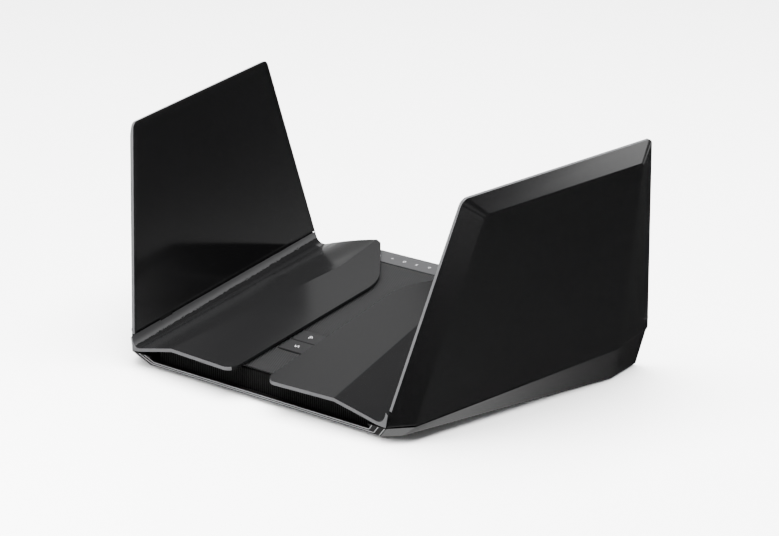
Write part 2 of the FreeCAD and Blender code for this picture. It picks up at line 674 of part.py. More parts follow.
def mount_slots():
    """Keyholes in the floor: a round for the screw head and a narrower slot behind it."""
    tools = []
    through = dim("foot_height") + dim("tray_floor") + PAST
    for side in (-1.0, 1.0):
        across, along = dim("slot_mount_x") * side, dim("slot_mount_y")
        tools.append(cylinder("slot_head_hole", dim("slot_head"), through, (across, along, 0.0)))
        tools.append(cylinder("slot_end", dim("slot_neck"), through, (across, along + dim("slot_drop"), 0.0)))
        tools.append(box("slot_neck_hole", dim("slot_neck") * 2, dim("slot_drop"), through,
                         (across - dim("slot_neck"), along, 0.0)))
    return tools


def boss_places():
    places = []
    for side in (-1.0, 1.0):
        for along in ("boss_front_y", "boss_rear_y"):
            places.append((dim("boss_x") * side, dim(along)))
    return places


def foot_places():
    places = []
    for side in (-1.0, 1.0):
        places.append((dim("foot_front_x") * side, dim("foot_front_y")))
        places.append((dim("foot_rear_x") * side, dim("foot_rear_y")))
    return places


def rubber_feet():
    pieces = [cylinder("foot", dim("foot_radius"), dim("foot_depth"), (across, along, 0.0))
              for across, along in foot_places()]
    return keep(group("rubber_feet", pieces))


def case_screws():
    """Screws up through the tray's bosses into the board."""
    pieces = []
    start = dim("foot_height") + dim("head_gap")
    for across, along in boss_places():
        head = cylinder("head", dim("screw_head"), dim("head_thick"), (across, along, start))
        shank = cylinder("shank", dim("screw_radius") - dim("shank_gap"), dim("screw_length"),
                         (across, along, start))
        pieces.append(fuse("screw", [head, shank]))
    return keep(group("case_screws", pieces))


# ---------------------------------------------------------------- spine
def spine_tilt():
    return Rotation(Vector(1, 0, 0), math.degrees(math.atan(size("plate_slope"))))


def on_spine(item, drop):
    """Moves an item from the level plane at z = 0 to the spine's plane, `drop` below the plates' tops."""
    lean = spine_tilt()
    item.Placement = Placement(Vector(0, 0, size("plate_level") - drop), lean)
    return item


def grille_points():
    """The grille's plan: a straight strip that flares to the light bar."""
    half = dim("grille_half")
    return mirror_loop([(half, dim("grille_front")), (half, dim("grille_flare_y")),
                        (dim("grille_rear_half"), dim("grille_rear_y"))])


def spine_grille():
    """Flat grille between the plates, flaring to the light bar, with rows of slots and a key window."""
    body = new_body("spine_grille")
    thick = dim("grille_thick")
    extrude(body, "Pad", outline(body, "grille_edge", grille_points()), thick)
    half, depth = dim("key_width") / 2 + dim("key_gap"), dim("key_depth") / 2 + dim("key_gap")
    first = dim("key_front_y") - depth
    last = dim("key_front_y") + dim("key_pitch") + depth
    window = [(-half, first), (half, first), (half, last), (-half, last)]
    extrude(body, "Pocket", outline(body, "key_window", window), thick, True)
    slot_half = dim("slot_width") / 2
    start = dim("slot_start")
    for side in (-1.0, 1.0):
        near, reach = dim("slot_rib") * side, dim("slot_length") * side
        points = [(near, start - slot_half), (reach, start - slot_half),
                  (reach, start + slot_half), (near, start + slot_half)]
        name = "left_slot" if side < 0 else "right_slot"
        pocket = extrude(body, "Pocket", outline(body, name, points), thick, True)
        doc.recompute()
        rows = body.newObject("PartDesign::LinearPattern", name + "s")
        rows.Originals = [pocket]
        rows.Direction = (origin_plane(body, "Y_Axis"), [""])
        rows.Occurrences = int(size("slot_count"))
        rows.Length = size("slot_pitch") * (rows.Occurrences - 1)
        body.Tip = rows
        doc.recompute()
    on_spine(body, size("grille_drop") + size("grille_thick"))
    return keep(body)


def key_cap(name, number):
    """A flat key, one of two side by side, a little proud of the grille."""
    half, thick = dim("key_width") / 2, dim("key_thick")
    deep = dim("key_depth") / 2 - dim("key_trim")
    body = new_body(name)
    middle = dim("key_front_y") + dim("key_pitch") * float(number)
    points = [(-half, middle - deep), (half, middle - deep), (half, middle + deep), (-half, middle + deep)]
    extrude(body, "Pad", outline(body, name + "_edge", points), thick)
    on_spine(body, size("grille_drop") + size("key_thick") - size("key_proud"))
    return keep(body)


def tilted_block(label, across, depth, thick, middle_x, front, drop):
    """A block in the spine's plane: `drop` is the depth of its underside below the plates' tops."""
    body = new_body(label)
    half = Dim.of(across) / 2
    points = [(middle_x - half, front), (middle_x + half, front), (middle_x + half, front + depth),
              (middle_x - half, front + depth)]
    extrude(body, "Pad", outline(body, label + "_edge", points), thick)
    on_spine(body, drop)
    return body


def key_parts():
    """The small board under the keys and its two tact switches."""
    under = size("grille_drop") + size("key_thick") - size("key_proud")
    board_thick = size("key_board_thick")
    board_drop = under + size("key_travel") + size("key_clear") + size("tact_height") + board_thick
    keep(tilted_block("key_board", dim("key_board_width"), dim("key_board_depth"), board_thick, Dim.of(0.0),
                      dim("key_front_y") - dim("key_board_lead"), board_drop))
    switches = []
    wide = dim("tact_width")
    for number in (0.0, 1.0):
        middle = dim("key_front_y") + dim("key_pitch") * number
        switches.append(tilted_block("tact", wide, wide, dim("tact_height"), Dim.of(0.0), middle - wide / 2,
                                     board_drop - board_thick - size("tact_gap")))
    keep(group("key_switches", switches))


def light_bar():
    """The bar, the board under it and the row of lights between them."""
    under = size("grille_drop") + size("bar_thick")
    front, deep = dim("bar_front"), dim("bar_depth")
    keep(tilted_block("light_bar", dim("bar_half") * 2, deep, dim("bar_thick"), Dim.of(0.0), front, under))
    chips = []
    count, wide = int(size("light_count")), dim("light_chip")
    for number in range(count):
        middle = dim("light_pitch") * (number - (count - 1) / 2)
        chips.append(tilted_block("chip", wide, wide, dim("light_chip_tall"), middle,
                                  front + (deep - wide) / 2, under + size("light_chip_drop")))
    trim = dim("light_board_trim")
    keep(tilted_block("light_board", (dim("bar_half") - dim("light_board_side")) * 2, deep - trim * 2,
                      dim("light_board_thick"), Dim.of(0.0), front + trim, under + size("light_board_drop")))
    keep(group("status_leds", chips))


def deck_frame():
    """Tilted frame under the plates and the spine, with windows over the board."""
    body = new_body("deck_frame")
    half, front, rear = dim("deck_half"), dim("deck_front"), dim("deck_rear")
    thick = dim("deck_thick")
    edge = [(-half, front), (half, front), (half, rear), (-half, rear)]
    extrude(body, "Pad", outline(body, "deck_edge", edge), thick)
    start, end = front + dim("deck_front_rail"), rear - dim("deck_rear_rail")
    for side, name in ((-1.0, "left_window"), (1.0, "right_window")):
        near, far = dim("deck_rib") * side, (dim("deck_rib") + dim("deck_window")) * side
        window = [(near, start), (far, start), (far, end), (near, end)]
        extrude(body, "Pocket", outline(body, name, window), thick, True)
    on_spine(body, size("deck_drop") + size("deck_thick"))
    return keep(body)


def front_vent():
    """Upright ribbed intake between the lip and the plates, stepped down under the falling strips."""
    body = new_body("vent_panel")
    half, low = dim("vent_half"), dim("foot_height") + dim("tray_floor")
    high = plate_height(size("vent_y")) - size("grille_drop") - size("grille_thick") - size("vent_top_gap")
    knee = size("crease_front") - size("vent_knee")
    side = size("vent_side")
    points = mirror_loop([(half, low), (half, Dim.of(side)), (Dim.of(knee), Dim.of(high))])
    sketch = outline(body, "vent_edge", points, "XZ_Plane", -(dim("vent_y") + dim("vent_thick")))
    extrude(body, "Pad", sketch, dim("vent_thick"))
    slots = []
    pitch, wide = size("vent_pitch"), size("vent_pitch") - size("vent_rib")
    count = int(size("vent_half") * 2 / pitch) - 2
    sill = size("vent_sill")
    for number in range(count):
        across = (number - (count - 1) / 2) * pitch
        share = (size("vent_half") - abs(across) - size("vent_knee")) / (size("vent_half") - knee)
        limit = side + (high - side) * min(1.0, share)
        slots.append(box("vent_slot", wide, dim("vent_thick") + PAST * 4, limit - size("vent_head") - sill,
                         (across - wide / 2, dim("vent_y") - PAST * 2, sill)))
    return keep(cut("front_vent", body, slots))


# ---------------------------------------------------------------- back panel and sockets
def socket_row():
    """Middles of the LAN sockets, left to right."""
    return [dim("lan_first") + dim("jack_pitch") * float(number) for number in range(int(size("lan_count")))]


def rear_panel():
    body = new_body("panel_sheet")
    half = dim("bay_half") - dim("panel_side_gap")
    low, side_top, top = dim("panel_bottom"), dim("panel_side_top"), dim("panel_top")
    points = mirror_loop([(half, low), (half, side_top), (dim("panel_shoulder"), top)])
    sketch = outline(body, "panel_edge", points, "XZ_Plane", -dim("bay_y"))
    extrude(body, "Pad", sketch, dim("panel_depth"))
    gap = dim("window_gap")
    floor = dim("socket_floor")
    row = socket_row()
    jack_tall = dim("jack_height")
    windows = [(row[0], row[-1], dim("jack_width"), jack_tall),
               (dim("wan_x"), dim("wan_x"), dim("jack_width"), jack_tall),
               (dim("usb_x"), dim("usb_x"), dim("usb_width"), dim("usb_rise") + dim("usb_height")),
               (dim("dc_x"), dim("dc_x"), dim("dc_width"), dim("dc_height")),
               (dim("power_x"), dim("power_x"), dim("power_width"), dim("power_height"))]
    rooms = []
    for first, last, wide, tall in windows:
        side = wide / 2 + gap
        rooms.append(panel_room(first - side, last + side, floor - gap, tall + gap * 2))
    depth = dim("panel_depth")
    rooms.append(cylinder("reset_room", dim("reset_radius") + dim("reset_gap"), depth + PAST * 2,
                          (dim("reset_x"), dim("bay_y") - depth - PAST, floor + dim("reset_rise")), BACKWARD))
    reach, room_tall = dim("light_window") / 2, dim("knob_height") + gap * 2
    rooms.append(panel_room(dim("light_x") - reach, dim("light_x") + reach, dim("light_z") - room_tall / 2,
                            room_tall))
    return keep(cut("rear_panel", body, rooms))


def panel_room(left, right, low, tall):
    """A cutter through the back panel."""
    return box("room", right - left, dim("panel_depth") + PAST * 2, tall,
               (left, dim("bay_y") - dim("panel_depth") - PAST, low))


def jack(middle):
    """One RJ45 socket: a block with a mouth that opens to the back."""
    wide, tall, deep = dim("jack_width"), dim("jack_height"), dim("jack_depth")
    floor, back = dim("socket_floor"), dim("bay_y")
    shell = box("jack_shell", wide, deep, tall, (middle - wide / 2, back - deep, floor))
    mouth = dim("jack_mouth")
    room = box("jack_room", mouth, dim("jack_mouth_depth") + PAST, dim("jack_mouth_height"),
               (middle - mouth / 2, back - dim("jack_mouth_depth"), floor + dim("jack_sill")))
    return cut("jack", shell, [room])


def lan_and_wan():
    """The row of LAN sockets and the WAN socket beside it."""
    keep(group("lan_sockets", [jack(middle) for middle in socket_row()]))
    wan = jack(dim("wan_x"))
    wan.Label = "wan_socket"
    keep(wan)


def usb_sockets():
    """Two USB sockets, one above the other."""
    wide, tall, deep = dim("usb_width"), dim("usb_height"), dim("usb_depth")
    mouth, mouth_tall = dim("usb_mouth"), dim("usb_mouth_height")
    back = dim("bay_y")
    pieces = []
    for number in (0.0, 1.0):
        low = dim("socket_floor") + dim("usb_rise") * number
        shell = box("usb_shell", wide, deep, tall, (dim("usb_x") - wide / 2, back - deep, low))
        room = box("usb_room", mouth, dim("usb_mouth_depth") + PAST, mouth_tall,
                   (dim("usb_x") - mouth / 2, back - dim("usb_mouth_depth"), low + (tall - mouth_tall) / 2))
        pieces.append(cut("usb", shell, [room]))
    return keep(group("usb_sockets", pieces))


def dc_jack():
    """The power inlet: a block with a round bore and a centre pin."""
    wide, tall, deep = dim("dc_width"), dim("dc_height"), dim("dc_depth")
    start, low, middle = dim("bay_y") - deep, dim("socket_floor"), dim("dc_x")
    shell = box("dc_shell", wide, deep, tall, (middle - wide / 2, start, low))
    axis = low + tall / 2
    bore = cylinder("dc_bore", dim("dc_bore"), deep, (middle, start + dim("dc_back"), axis), BACKWARD)
    hollow = cut("dc_hollow", shell, [bore])
    pin_back = dim("dc_pin_back")
    pin = cylinder("dc_pin", dim("dc_pin"), deep - pin_back - dim("dc_pin_recess"),
                   (middle, start + pin_back, axis), BACKWARD)
    return keep(fuse("dc_jack", [hollow, pin]))


def rear_controls():
    """Power switch and its button, reset switch and its plunger, light switch and its knob."""
    back, low, gap = dim("bay_y"), dim("socket_floor"), dim("switch_gap")
    wide, tall, side = dim("power_width"), dim("power_height"), dim("power_switch_side")
    inner = back - dim("power_depth")
    switch_deep = dim("power_switch_depth")
    keep(box("power_button", wide, dim("power_depth") + dim("power_proud"), tall,
             (dim("power_x") - wide / 2, inner, low)))
    keep(box("power_switch", wide + side * 2, switch_deep, tall + dim("power_switch_head"),
             (dim("power_x") - wide / 2 - side, inner - dim("power_travel") - switch_deep - gap, low)))
    plunger = back - dim("reset_length") - dim("reset_recess")
    reset_wide, reset_deep = dim("reset_switch_width"), dim("reset_switch_depth")
    keep(cylinder("reset_button", dim("reset_radius"), dim("reset_length"),
                  (dim("reset_x"), plunger, low + dim("reset_rise")), BACKWARD))
    keep(box("reset_switch", reset_wide, reset_deep, dim("reset_switch_height"),
             (dim("reset_x") - reset_wide / 2, plunger - dim("reset_travel") - reset_deep - gap, low)))
    knob_wide, knob_tall, middle = dim("knob_width"), dim("knob_height"), dim("light_z")
    keep(box("light_slider", knob_wide, dim("knob_depth"), knob_tall,
             (dim("light_x") - (dim("light_throw") + knob_wide) / 2, back - dim("knob_inside"),
              middle - knob_tall / 2)))
    switch_tall = dim("light_switch_height")
    keep(box("light_switch", dim("light_switch_width"), dim("light_switch_depth"), switch_tall,
             (dim("light_x") - dim("light_switch_lead"), back - dim("light_switch_back"),
              middle - switch_tall / 2)))


# ---------------------------------------------------------------- main board
def main_board():
    """The board, with holes for the case screws."""
    half = dim("board_half")
    front, rear = dim("board_front"), dim("board_rear")
    level = dim("board_z")
    slab = box("board_slab", half * 2, rear - front, dim("board_thick"), (-half, front, level))
    holes = [cylinder("board_hole", dim("screw_radius") + dim("hole_gap"), dim("board_thick") + PAST * 2,
                      (across, along, level - PAST)) for across, along in boss_places()]
    keep(cut("main_board", slab, holes))


def board_top():
    return dim("board_z") + dim("board_thick")


def heat_sink(label, middle_x, middle_y, wide, deep, fins, tall):
    """A finned block: a base plate with upright fins."""
    level, fin = board_top() + dim("sink_lift"), dim("sink_fin")
    left, front = middle_x - wide / 2, middle_y - deep / 2
    pieces = [box("sink_base", wide, deep, dim("sink_base"), (left, front, level))]
    foot = level + dim("sink_base") - dim("sink_lap")
    for number in range(fins):
        across = left + (wide - fin) * (number / (fins - 1))
        pieces.append(box("sink_rib", fin, deep, tall, (across, front, foot)))
    return fuse(label, pieces)


def board_block(label, middle_x, middle_y, wide, deep, thick):
    """A block standing on the board."""
    return box(label, wide, deep, thick,
               (middle_x - wide / 2, middle_y - deep / 2, board_top() + dim("part_gap")))


def board_parts():
    """Chips with their heat sinks, and the tin cans behind them."""
    centre, wide = Dim.of(0.0), dim("cpu_width")
    chips = [board_block("cpu", centre, dim("cpu_y"), wide, wide, dim("chip_thick"))]
    keep(heat_sink("processor_heatsink", centre, dim("cpu_y"), dim("cpu_sink_width"), dim("cpu_sink_depth"),
                   int(size("cpu_fins")), dim("cpu_sink_tall")))
    radios = []
    cans = [board_block("middle_can", centre, dim("mid_can_y"), dim("mid_can_width"), dim("mid_can_depth"),
                        dim("can_thick"))]
    wide = dim("radio_width")
    for side in (-1.0, 1.0):
        across = dim("radio_x") * side
        chips.append(board_block("radio_chip", across, dim("radio_y"), wide, wide, dim("chip_thick")))
        radios.append(heat_sink("radio_sink", across, dim("radio_y"), dim("radio_sink_width"),
                                dim("radio_sink_depth"), int(size("radio_fins")), dim("radio_sink_tall")))
        cans.append(board_block("can", dim("can_x") * side, dim("can_y"), dim("can_width"), dim("can_depth"),
                                dim("can_thick")))
    keep(group("radio_heatsinks", radios))
    keep(group("shielded_chips", chips))
    keep(group("shield_cans", cans))


# ---------------------------------------------------------------- build, check, write
def build():
    base_tray()
    rubber_feet()
    case_screws()
    deck_frame()
    both_sides("cover_plate", cover_plate())
    spine_grille()
    key_cap("radio_key", 0)
    key_cap("pairing_key", 1)
    key_parts()
    light_bar()
    front_vent()
    rear_panel()
    lan_and_wan()
    usb_sockets()
    dc_jack()
    rear_controls()
    main_board()
    board_parts()
    both_sides("hinge_brackets", hinge_brackets())
    both_sides("wing_outer_shell", wing_outer_shell())
    both_sides("wing_inner_panel", wing_inner_panel())
    both_sides("hinge_pins", hinge_pins())
    both_sides("antenna_boards", antenna_boards())
    both_sides("antenna_leads", antenna_leads())


def check():
    doc.recompute()
    for item in doc.Objects:
        if "Invalid" in item.State or "Error" in item.State:
            raise RuntimeError("%s failed: %s" % (item.Label, item.State))
    for item in nodes:
        if item.Shape.isNull() or not item.Shape.isValid() or not item.Shape.Solids:
            raise RuntimeError("%s has no valid solid" % item.Label)


def write():
    for item in nodes:
        item.Shape.exportStep("parts/%s.step" % item.Label)
        print(item.Label, "solids", len(item.Shape.Solids), "volume", round(item.Shape.Volume, 1))


build()
check()
write()
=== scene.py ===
"""Studio scene of a wireless router with two folding antenna wings.

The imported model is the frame.  Each visible sub-assembly is a class that builds its own detailed meshes
over that frame, in millimetres, and dresses them; `main` builds them in order.
"""
import json
import logging
import math
from dataclasses import dataclass, field
from enum import Enum

import bmesh
import bpy
import numpy as np
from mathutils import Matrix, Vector

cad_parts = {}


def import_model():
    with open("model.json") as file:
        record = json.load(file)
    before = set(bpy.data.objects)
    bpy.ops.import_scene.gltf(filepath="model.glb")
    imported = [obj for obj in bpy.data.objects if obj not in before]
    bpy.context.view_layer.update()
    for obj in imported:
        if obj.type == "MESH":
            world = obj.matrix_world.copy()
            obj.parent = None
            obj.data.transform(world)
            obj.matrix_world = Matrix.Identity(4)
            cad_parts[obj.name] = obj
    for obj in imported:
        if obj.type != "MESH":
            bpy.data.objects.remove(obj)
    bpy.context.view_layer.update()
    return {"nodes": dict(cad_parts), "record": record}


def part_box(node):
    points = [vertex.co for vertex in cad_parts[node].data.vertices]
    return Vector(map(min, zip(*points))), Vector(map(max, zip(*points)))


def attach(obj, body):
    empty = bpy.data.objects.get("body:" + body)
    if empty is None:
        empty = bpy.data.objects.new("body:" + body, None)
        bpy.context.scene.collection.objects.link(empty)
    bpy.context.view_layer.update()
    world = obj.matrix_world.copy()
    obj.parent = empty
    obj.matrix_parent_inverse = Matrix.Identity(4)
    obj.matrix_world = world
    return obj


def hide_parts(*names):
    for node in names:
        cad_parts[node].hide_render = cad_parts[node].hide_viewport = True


LOG = logging.getLogger("router")
MM = 0.001
Array = np.ndarray
REAR_PIECES = ("rear_panel", "lan_sockets", "wan_socket", "usb_sockets", "dc_jack")
BUTTONS = ("power_button", "light_slider")
REAR_ROUND = 0.2
BUTTON_ROUND = 0.35
SHEET_WALL = 1.0
DUST_COLOR = (0.35, 0.34, 0.33, 1.0)
CLOUD_SCALE = 38.0
SPECK_SCALE = 700.0
SPECK_START = 0.62
SPECK_FULL = 0.8
GRAIN_BUMP = 0.0001


class Side(Enum):
    """Which half of the mirrored object a piece belongs to."""

    RIGHT = 1.0
    LEFT = -1.0

    @property
    def word(self) -> str:
        """The side's name as the frame's nodes spell it."""
        return self.name.lower()


# ---------------------------------------------------------------- finishes
def new_group(name: str, inputs: dict[str, object], outputs: dict[str, str]) -> bpy.types.NodeTree:
    """Starts a shader node group with named sockets.

    Args:
        name: The group's name.
        inputs: Socket name to default value: a number is a float socket, a tuple a colour.
        outputs: Socket name to socket type.

    Returns:
        The empty group with its sockets.
    """
    tree = bpy.data.node_groups.new(name, "ShaderNodeTree")
    for label, default in inputs.items():
        kind = "NodeSocketColor" if isinstance(default, tuple) else "NodeSocketFloat"
        socket = tree.interface.new_socket(name=label, in_out="INPUT", socket_type=kind)
        socket.default_value = default
    for label, kind in outputs.items():
        tree.interface.new_socket(name=label, in_out="OUTPUT", socket_type=kind)
    return tree


def wire(tree: bpy.types.NodeTree, kind: str, links: dict[object, object],
         **settings: object) -> bpy.types.Node:
    """Adds a node, sets its options and feeds its inputs.

    Args:
        tree: Where the node goes.
        kind: The node's type.
        links: Input name or number to a constant or to another node's output socket.
        **settings: Options set on the node itself.

    Returns:
        The new node.
    """
    node = tree.nodes.new(kind)
    for name, value in settings.items():
        setattr(node, name, value)
    for name, value in links.items():
        if isinstance(value, bpy.types.NodeSocket):
            tree.links.new(value, node.inputs[name])
        else:
            node.inputs[name].default_value = value
    return node


def moulding_group() -> bpy.types.NodeTree:
    """Moulded surface: fine grain as bump, cloudy gloss, and faint dust that settles on upward faces.

    Returns:
        A group that puts out a colour, a roughness and a normal.
    """
    tree = new_group(
        "moulded_surface",
        {"Base": (0.02, 0.02, 0.02, 1.0), "Mottling": 0.1, "Roughness": 0.3, "Cloudiness": 0.1,
         "Grain Scale": 1500.0, "Grain Depth": 0.1, "Dust": 0.0},
        {"Color": "NodeSocketColor", "Roughness": "NodeSocketFloat", "Normal": "NodeSocketVector"})
    given = tree.nodes.new("NodeGroupInput").outputs
    place = wire(tree, "ShaderNodeTexCoord", {}).outputs["Object"]
    normal = wire(tree, "ShaderNodeNewGeometry", {}).outputs["Normal"]
    grain = wire(tree, "ShaderNodeTexNoise", {"Vector": place, "Scale": given["Grain Scale"], "Detail": 3.0})
    cloud = wire(tree, "ShaderNodeTexNoise",
                 {"Vector": place, "Scale": CLOUD_SCALE, "Detail": 4.0, "Roughness": 0.6})
    specks = wire(tree, "ShaderNodeTexNoise",
                  {"Vector": place, "Scale": SPECK_SCALE, "Detail": 6.0, "Roughness": 0.8})
    swing = wire(tree, "ShaderNodeMath", {0: cloud.outputs["Fac"], 1: 0.5}, operation="SUBTRACT")
    shade = wire(tree, "ShaderNodeMath", {0: swing.outputs[0], 1: given["Mottling"], 2: 1.0},
                 operation="MULTIPLY_ADD")
    tinted = wire(tree, "ShaderNodeVectorMath", {0: given["Base"], "Scale": shade.outputs[0]},
                  operation="SCALE")
    upward = wire(tree, "ShaderNodeSeparateXYZ", {0: normal})
    settled = wire(tree, "ShaderNodeMapRange", {"Value": specks.outputs["Fac"], "From Min": SPECK_START,
                                                "From Max": SPECK_FULL, "To Min": 0.0, "To Max": 1.0})
    lying = wire(tree, "ShaderNodeMath", {0: upward.outputs["Z"], 1: settled.outputs[0]},
                 operation="MULTIPLY", use_clamp=True)
    dusty = wire(tree, "ShaderNodeMath", {0: lying.outputs[0], 1: given["Dust"]}, operation="MULTIPLY",
                 use_clamp=True)
    color = wire(tree, "ShaderNodeMix", {"Factor": dusty.outputs[0], "A": tinted.outputs[0], "B": DUST_COLOR},
                 data_type="RGBA")
    rough = wire(tree, "ShaderNodeMath", {0: swing.outputs[0], 1: given["Cloudiness"], 2: given["Roughness"]},
                 operation="MULTIPLY_ADD", use_clamp=True)
    bump = wire(tree, "ShaderNodeBump", {"Strength": given["Grain Depth"], "Distance": GRAIN_BUMP,
                                         "Height": grain.outputs["Fac"]})
    result = {"Color": color.outputs["Result"], "Roughness": rough.outputs[0], "Normal": bump.outputs[0]}
    wire(tree, "NodeGroupOutput", result)
    return tree


@dataclass(frozen=True)
class Finish:
    """One moulded, metal or laminate surface.

    The numbers are the Principled shader's own, and the amounts of grain, cloud and dust over it.
    """

    name: str
    color: tuple[float, float, float]
    roughness: float = 0.4
    metallic: float = 0.0
    specular: float = 0.5
    mottling: float = 0.15
    cloudiness: float = 0.08
    grain_scale: float = 1500.0
    grain_depth: float = 0.08
    dust: float = 0.0

    def build(self) -> bpy.types.Material:
        """The material, made once and found by name after that."""
        ready = bpy.data.materials.get(self.name)
        if ready:
            return ready
        material = bpy.data.materials.new(self.name)
        material.use_nodes = True
        tree = material.node_tree
        shader = tree.nodes["Principled BSDF"]
        group = bpy.data.node_groups.get("moulded_surface") or moulding_group()
        surface = wire(tree, "ShaderNodeGroup", {}, node_tree=group)
        amounts = {"Base": (*self.color, 1.0), "Mottling": self.mottling, "Roughness": self.roughness,
                   "Cloudiness": self.cloudiness, "Grain Scale": self.grain_scale,
                   "Grain Depth": self.grain_depth, "Dust": self.dust}
        for name, value in amounts.items():
            surface.inputs[name].default_value = value
        for name, socket in (("Color", "Base Color"), ("Roughness", "Roughness"), ("Normal", "Normal")):
            tree.links.new(surface.outputs[name], shader.inputs[socket])
        shader.inputs["Metallic"].default_value = self.metallic
        shader.inputs["Specular IOR Level"].default_value = self.specular
        self.shape(tree, shader, surface)
        return material

    def shape(self, tree: bpy.types.NodeTree, shader: bpy.types.Node, surface: bpy.types.Node) -> None:
        """Lets a finish add its own pattern; a plain moulding adds none."""


@dataclass(frozen=True)
class MeshFinish(Finish):
    """Knurled grille: painted shade, a dark colour in the troughs that stand for the holes, and grey on the
    bars, read from the piece's own `rise` attribute.
    """

    hole_shade_color: tuple[float, float, float] = (0.0012, 0.0012, 0.0012)
    hole_rise: float = 0.4
    bar_rise: float = 0.75

    def shape(self, tree: bpy.types.NodeTree, shader: bpy.types.Node, surface: bpy.types.Node) -> None:
        """Mixes the painted hole shade in where the attribute is low."""
        rise = wire(tree, "ShaderNodeAttribute", {}, attribute_name="rise")
        bars = wire(tree, "ShaderNodeMapRange",
                    {"Value": rise.outputs["Fac"], "From Min": self.hole_rise, "From Max": self.bar_rise},
                    interpolation_type="SMOOTHSTEP")
        mix = wire(tree, "ShaderNodeMix", {"Factor": bars.outputs["Result"], "A": (*self.hole_shade_color, 1.0),
                                           "B": surface.outputs["Color"]}, data_type="RGBA")
        tree.links.new(mix.outputs["Result"], shader.inputs["Base Color"])


SHELL = Finish("satin_black_shell", (0.002, 0.002, 0.0021), 0.16, specular=0.25, cloudiness=0.03,
               grain_depth=0.03, dust=0.006)
PANEL = Finish("satin_black_panel", (0.0015, 0.0015, 0.0016), 0.1, specular=0.25, cloudiness=0.03,
               grain_depth=0.03, dust=0.006)
PLATE = Finish("satin_black_plate", (0.003, 0.003, 0.0031), 0.18, specular=0.25, cloudiness=0.04,
               grain_depth=0.03, dust=0.006)
# Rougher satin for the plates' cove: the roughness is a real finish, and its lighter colour is a painted
# sheen.
COVE_SHEEN = Finish("satin_cove_painted_sheen", (0.012, 0.012, 0.0124), 0.4, specular=0.3, grain_depth=0.05)
# Lighter grey for edges: a painted highlight along the wing rims and the plates' front edges.
EDGE_HIGHLIGHT = Finish("painted_edge_highlight", (0.055, 0.055, 0.057), 0.35, metallic=0.2, grain_depth=0.05)
TRAY = Finish("satin_tray", (0.002, 0.002, 0.0021), 0.26, specular=0.1, cloudiness=0.05, dust=0.006)
# Light grey for the lip's ridges: a painted highlight along them.
RIDGE_HIGHLIGHT = Finish("painted_ridge_highlight", (0.2, 0.2, 0.205), 0.35, metallic=0.2, grain_depth=0.05)
LIP = Finish("lip_black", (0.0015, 0.0015, 0.0015), 0.5, specular=0.05, grain_depth=0.1)
VENT = Finish("vent_black", (0.002, 0.002, 0.002), 0.6, specular=0.15, grain_depth=0.2)
# The grille's dark hole colour is painted shade where its troughs stand for holes.
KNURL = MeshFinish("knurled_mesh", (0.016, 0.016, 0.0164), 0.45, specular=0.2, grain_depth=0.1)
KEY = Finish("key_black", (0.006, 0.006, 0.0062), 0.38, specular=0.25, grain_depth=0.12)
BAR = Finish("light_bar_grey", (0.02, 0.02, 0.0207), 0.42, specular=0.25, grain_depth=0.1)
GLYPH = Finish("glyph_white", (0.2, 0.2, 0.204), 0.45, grain_depth=0.05)

SLOT_FINISHES = {
    "tray_plastic": TRAY,
    "foot_rubber": Finish("foot_rubber", (0.02, 0.02, 0.02), 0.75, specular=0.3, grain_depth=0.4,
                          grain_scale=900.0),
    "screw_steel": Finish("screw_steel", (0.45, 0.45, 0.46), 0.35, metallic=1.0, grain_depth=0.2),
    "inner_plastic": Finish("inner_plastic", (0.012, 0.012, 0.012), 0.6, grain_depth=0.2),
    "plate_plastic": PLATE,
    "grille_plastic": KNURL,
    "key_plastic": KEY,
    "board_laminate": Finish("board_green", (0.012, 0.07, 0.035), 0.35, mottling=0.5, grain_depth=0.2),
    "switch_plastic": Finish("switch_black", (0.02, 0.02, 0.02), 0.5),
    "light_bar_plastic": BAR,
    "led_plastic": Finish("led_resin", (0.7, 0.7, 0.66), 0.25),
    "vent_plastic": VENT,
    "panel_plastic": Finish("rear_panel_black", (0.014, 0.014, 0.0145), 0.4, grain_depth=0.25, dust=0.02),
    "socket_plastic": Finish("socket_black", (0.03, 0.03, 0.03), 0.45, grain_depth=0.2),
    "wan_plastic": Finish("wan_yellow", (0.55, 0.38, 0.03), 0.4, grain_depth=0.15),
    "usb_steel": Finish("usb_steel", (0.55, 0.55, 0.56), 0.3, metallic=1.0, grain_depth=0.1),
    "jack_plastic": Finish("jack_black", (0.02, 0.02, 0.02), 0.4),
    "button_plastic": Finish("button_grey", (0.06, 0.06, 0.06), 0.4, grain_depth=0.15),
    "sink_aluminium": Finish("sink_aluminium", (0.6, 0.6, 0.62), 0.38, metallic=1.0, grain_depth=0.25),
    "chip_plastic": Finish("chip_black", (0.03, 0.03, 0.03), 0.6),
    "can_steel": Finish("can_steel", (0.6, 0.6, 0.58), 0.35, metallic=1.0),
    "bracket_plastic": Finish("bracket_black", (0.001, 0.001, 0.001), 0.2, specular=0.15),
    "wing_shell_plastic": SHELL,
    "wing_panel_plastic": PANEL,
    "pin_steel": Finish("pin_steel", (0.5, 0.5, 0.51), 0.25, metallic=1.0),
    "antenna_laminate": Finish("antenna_green", (0.015, 0.06, 0.04), 0.4, mottling=0.4),
    "lead_jacket": Finish("lead_grey", (0.08, 0.08, 0.08), 0.5),
}


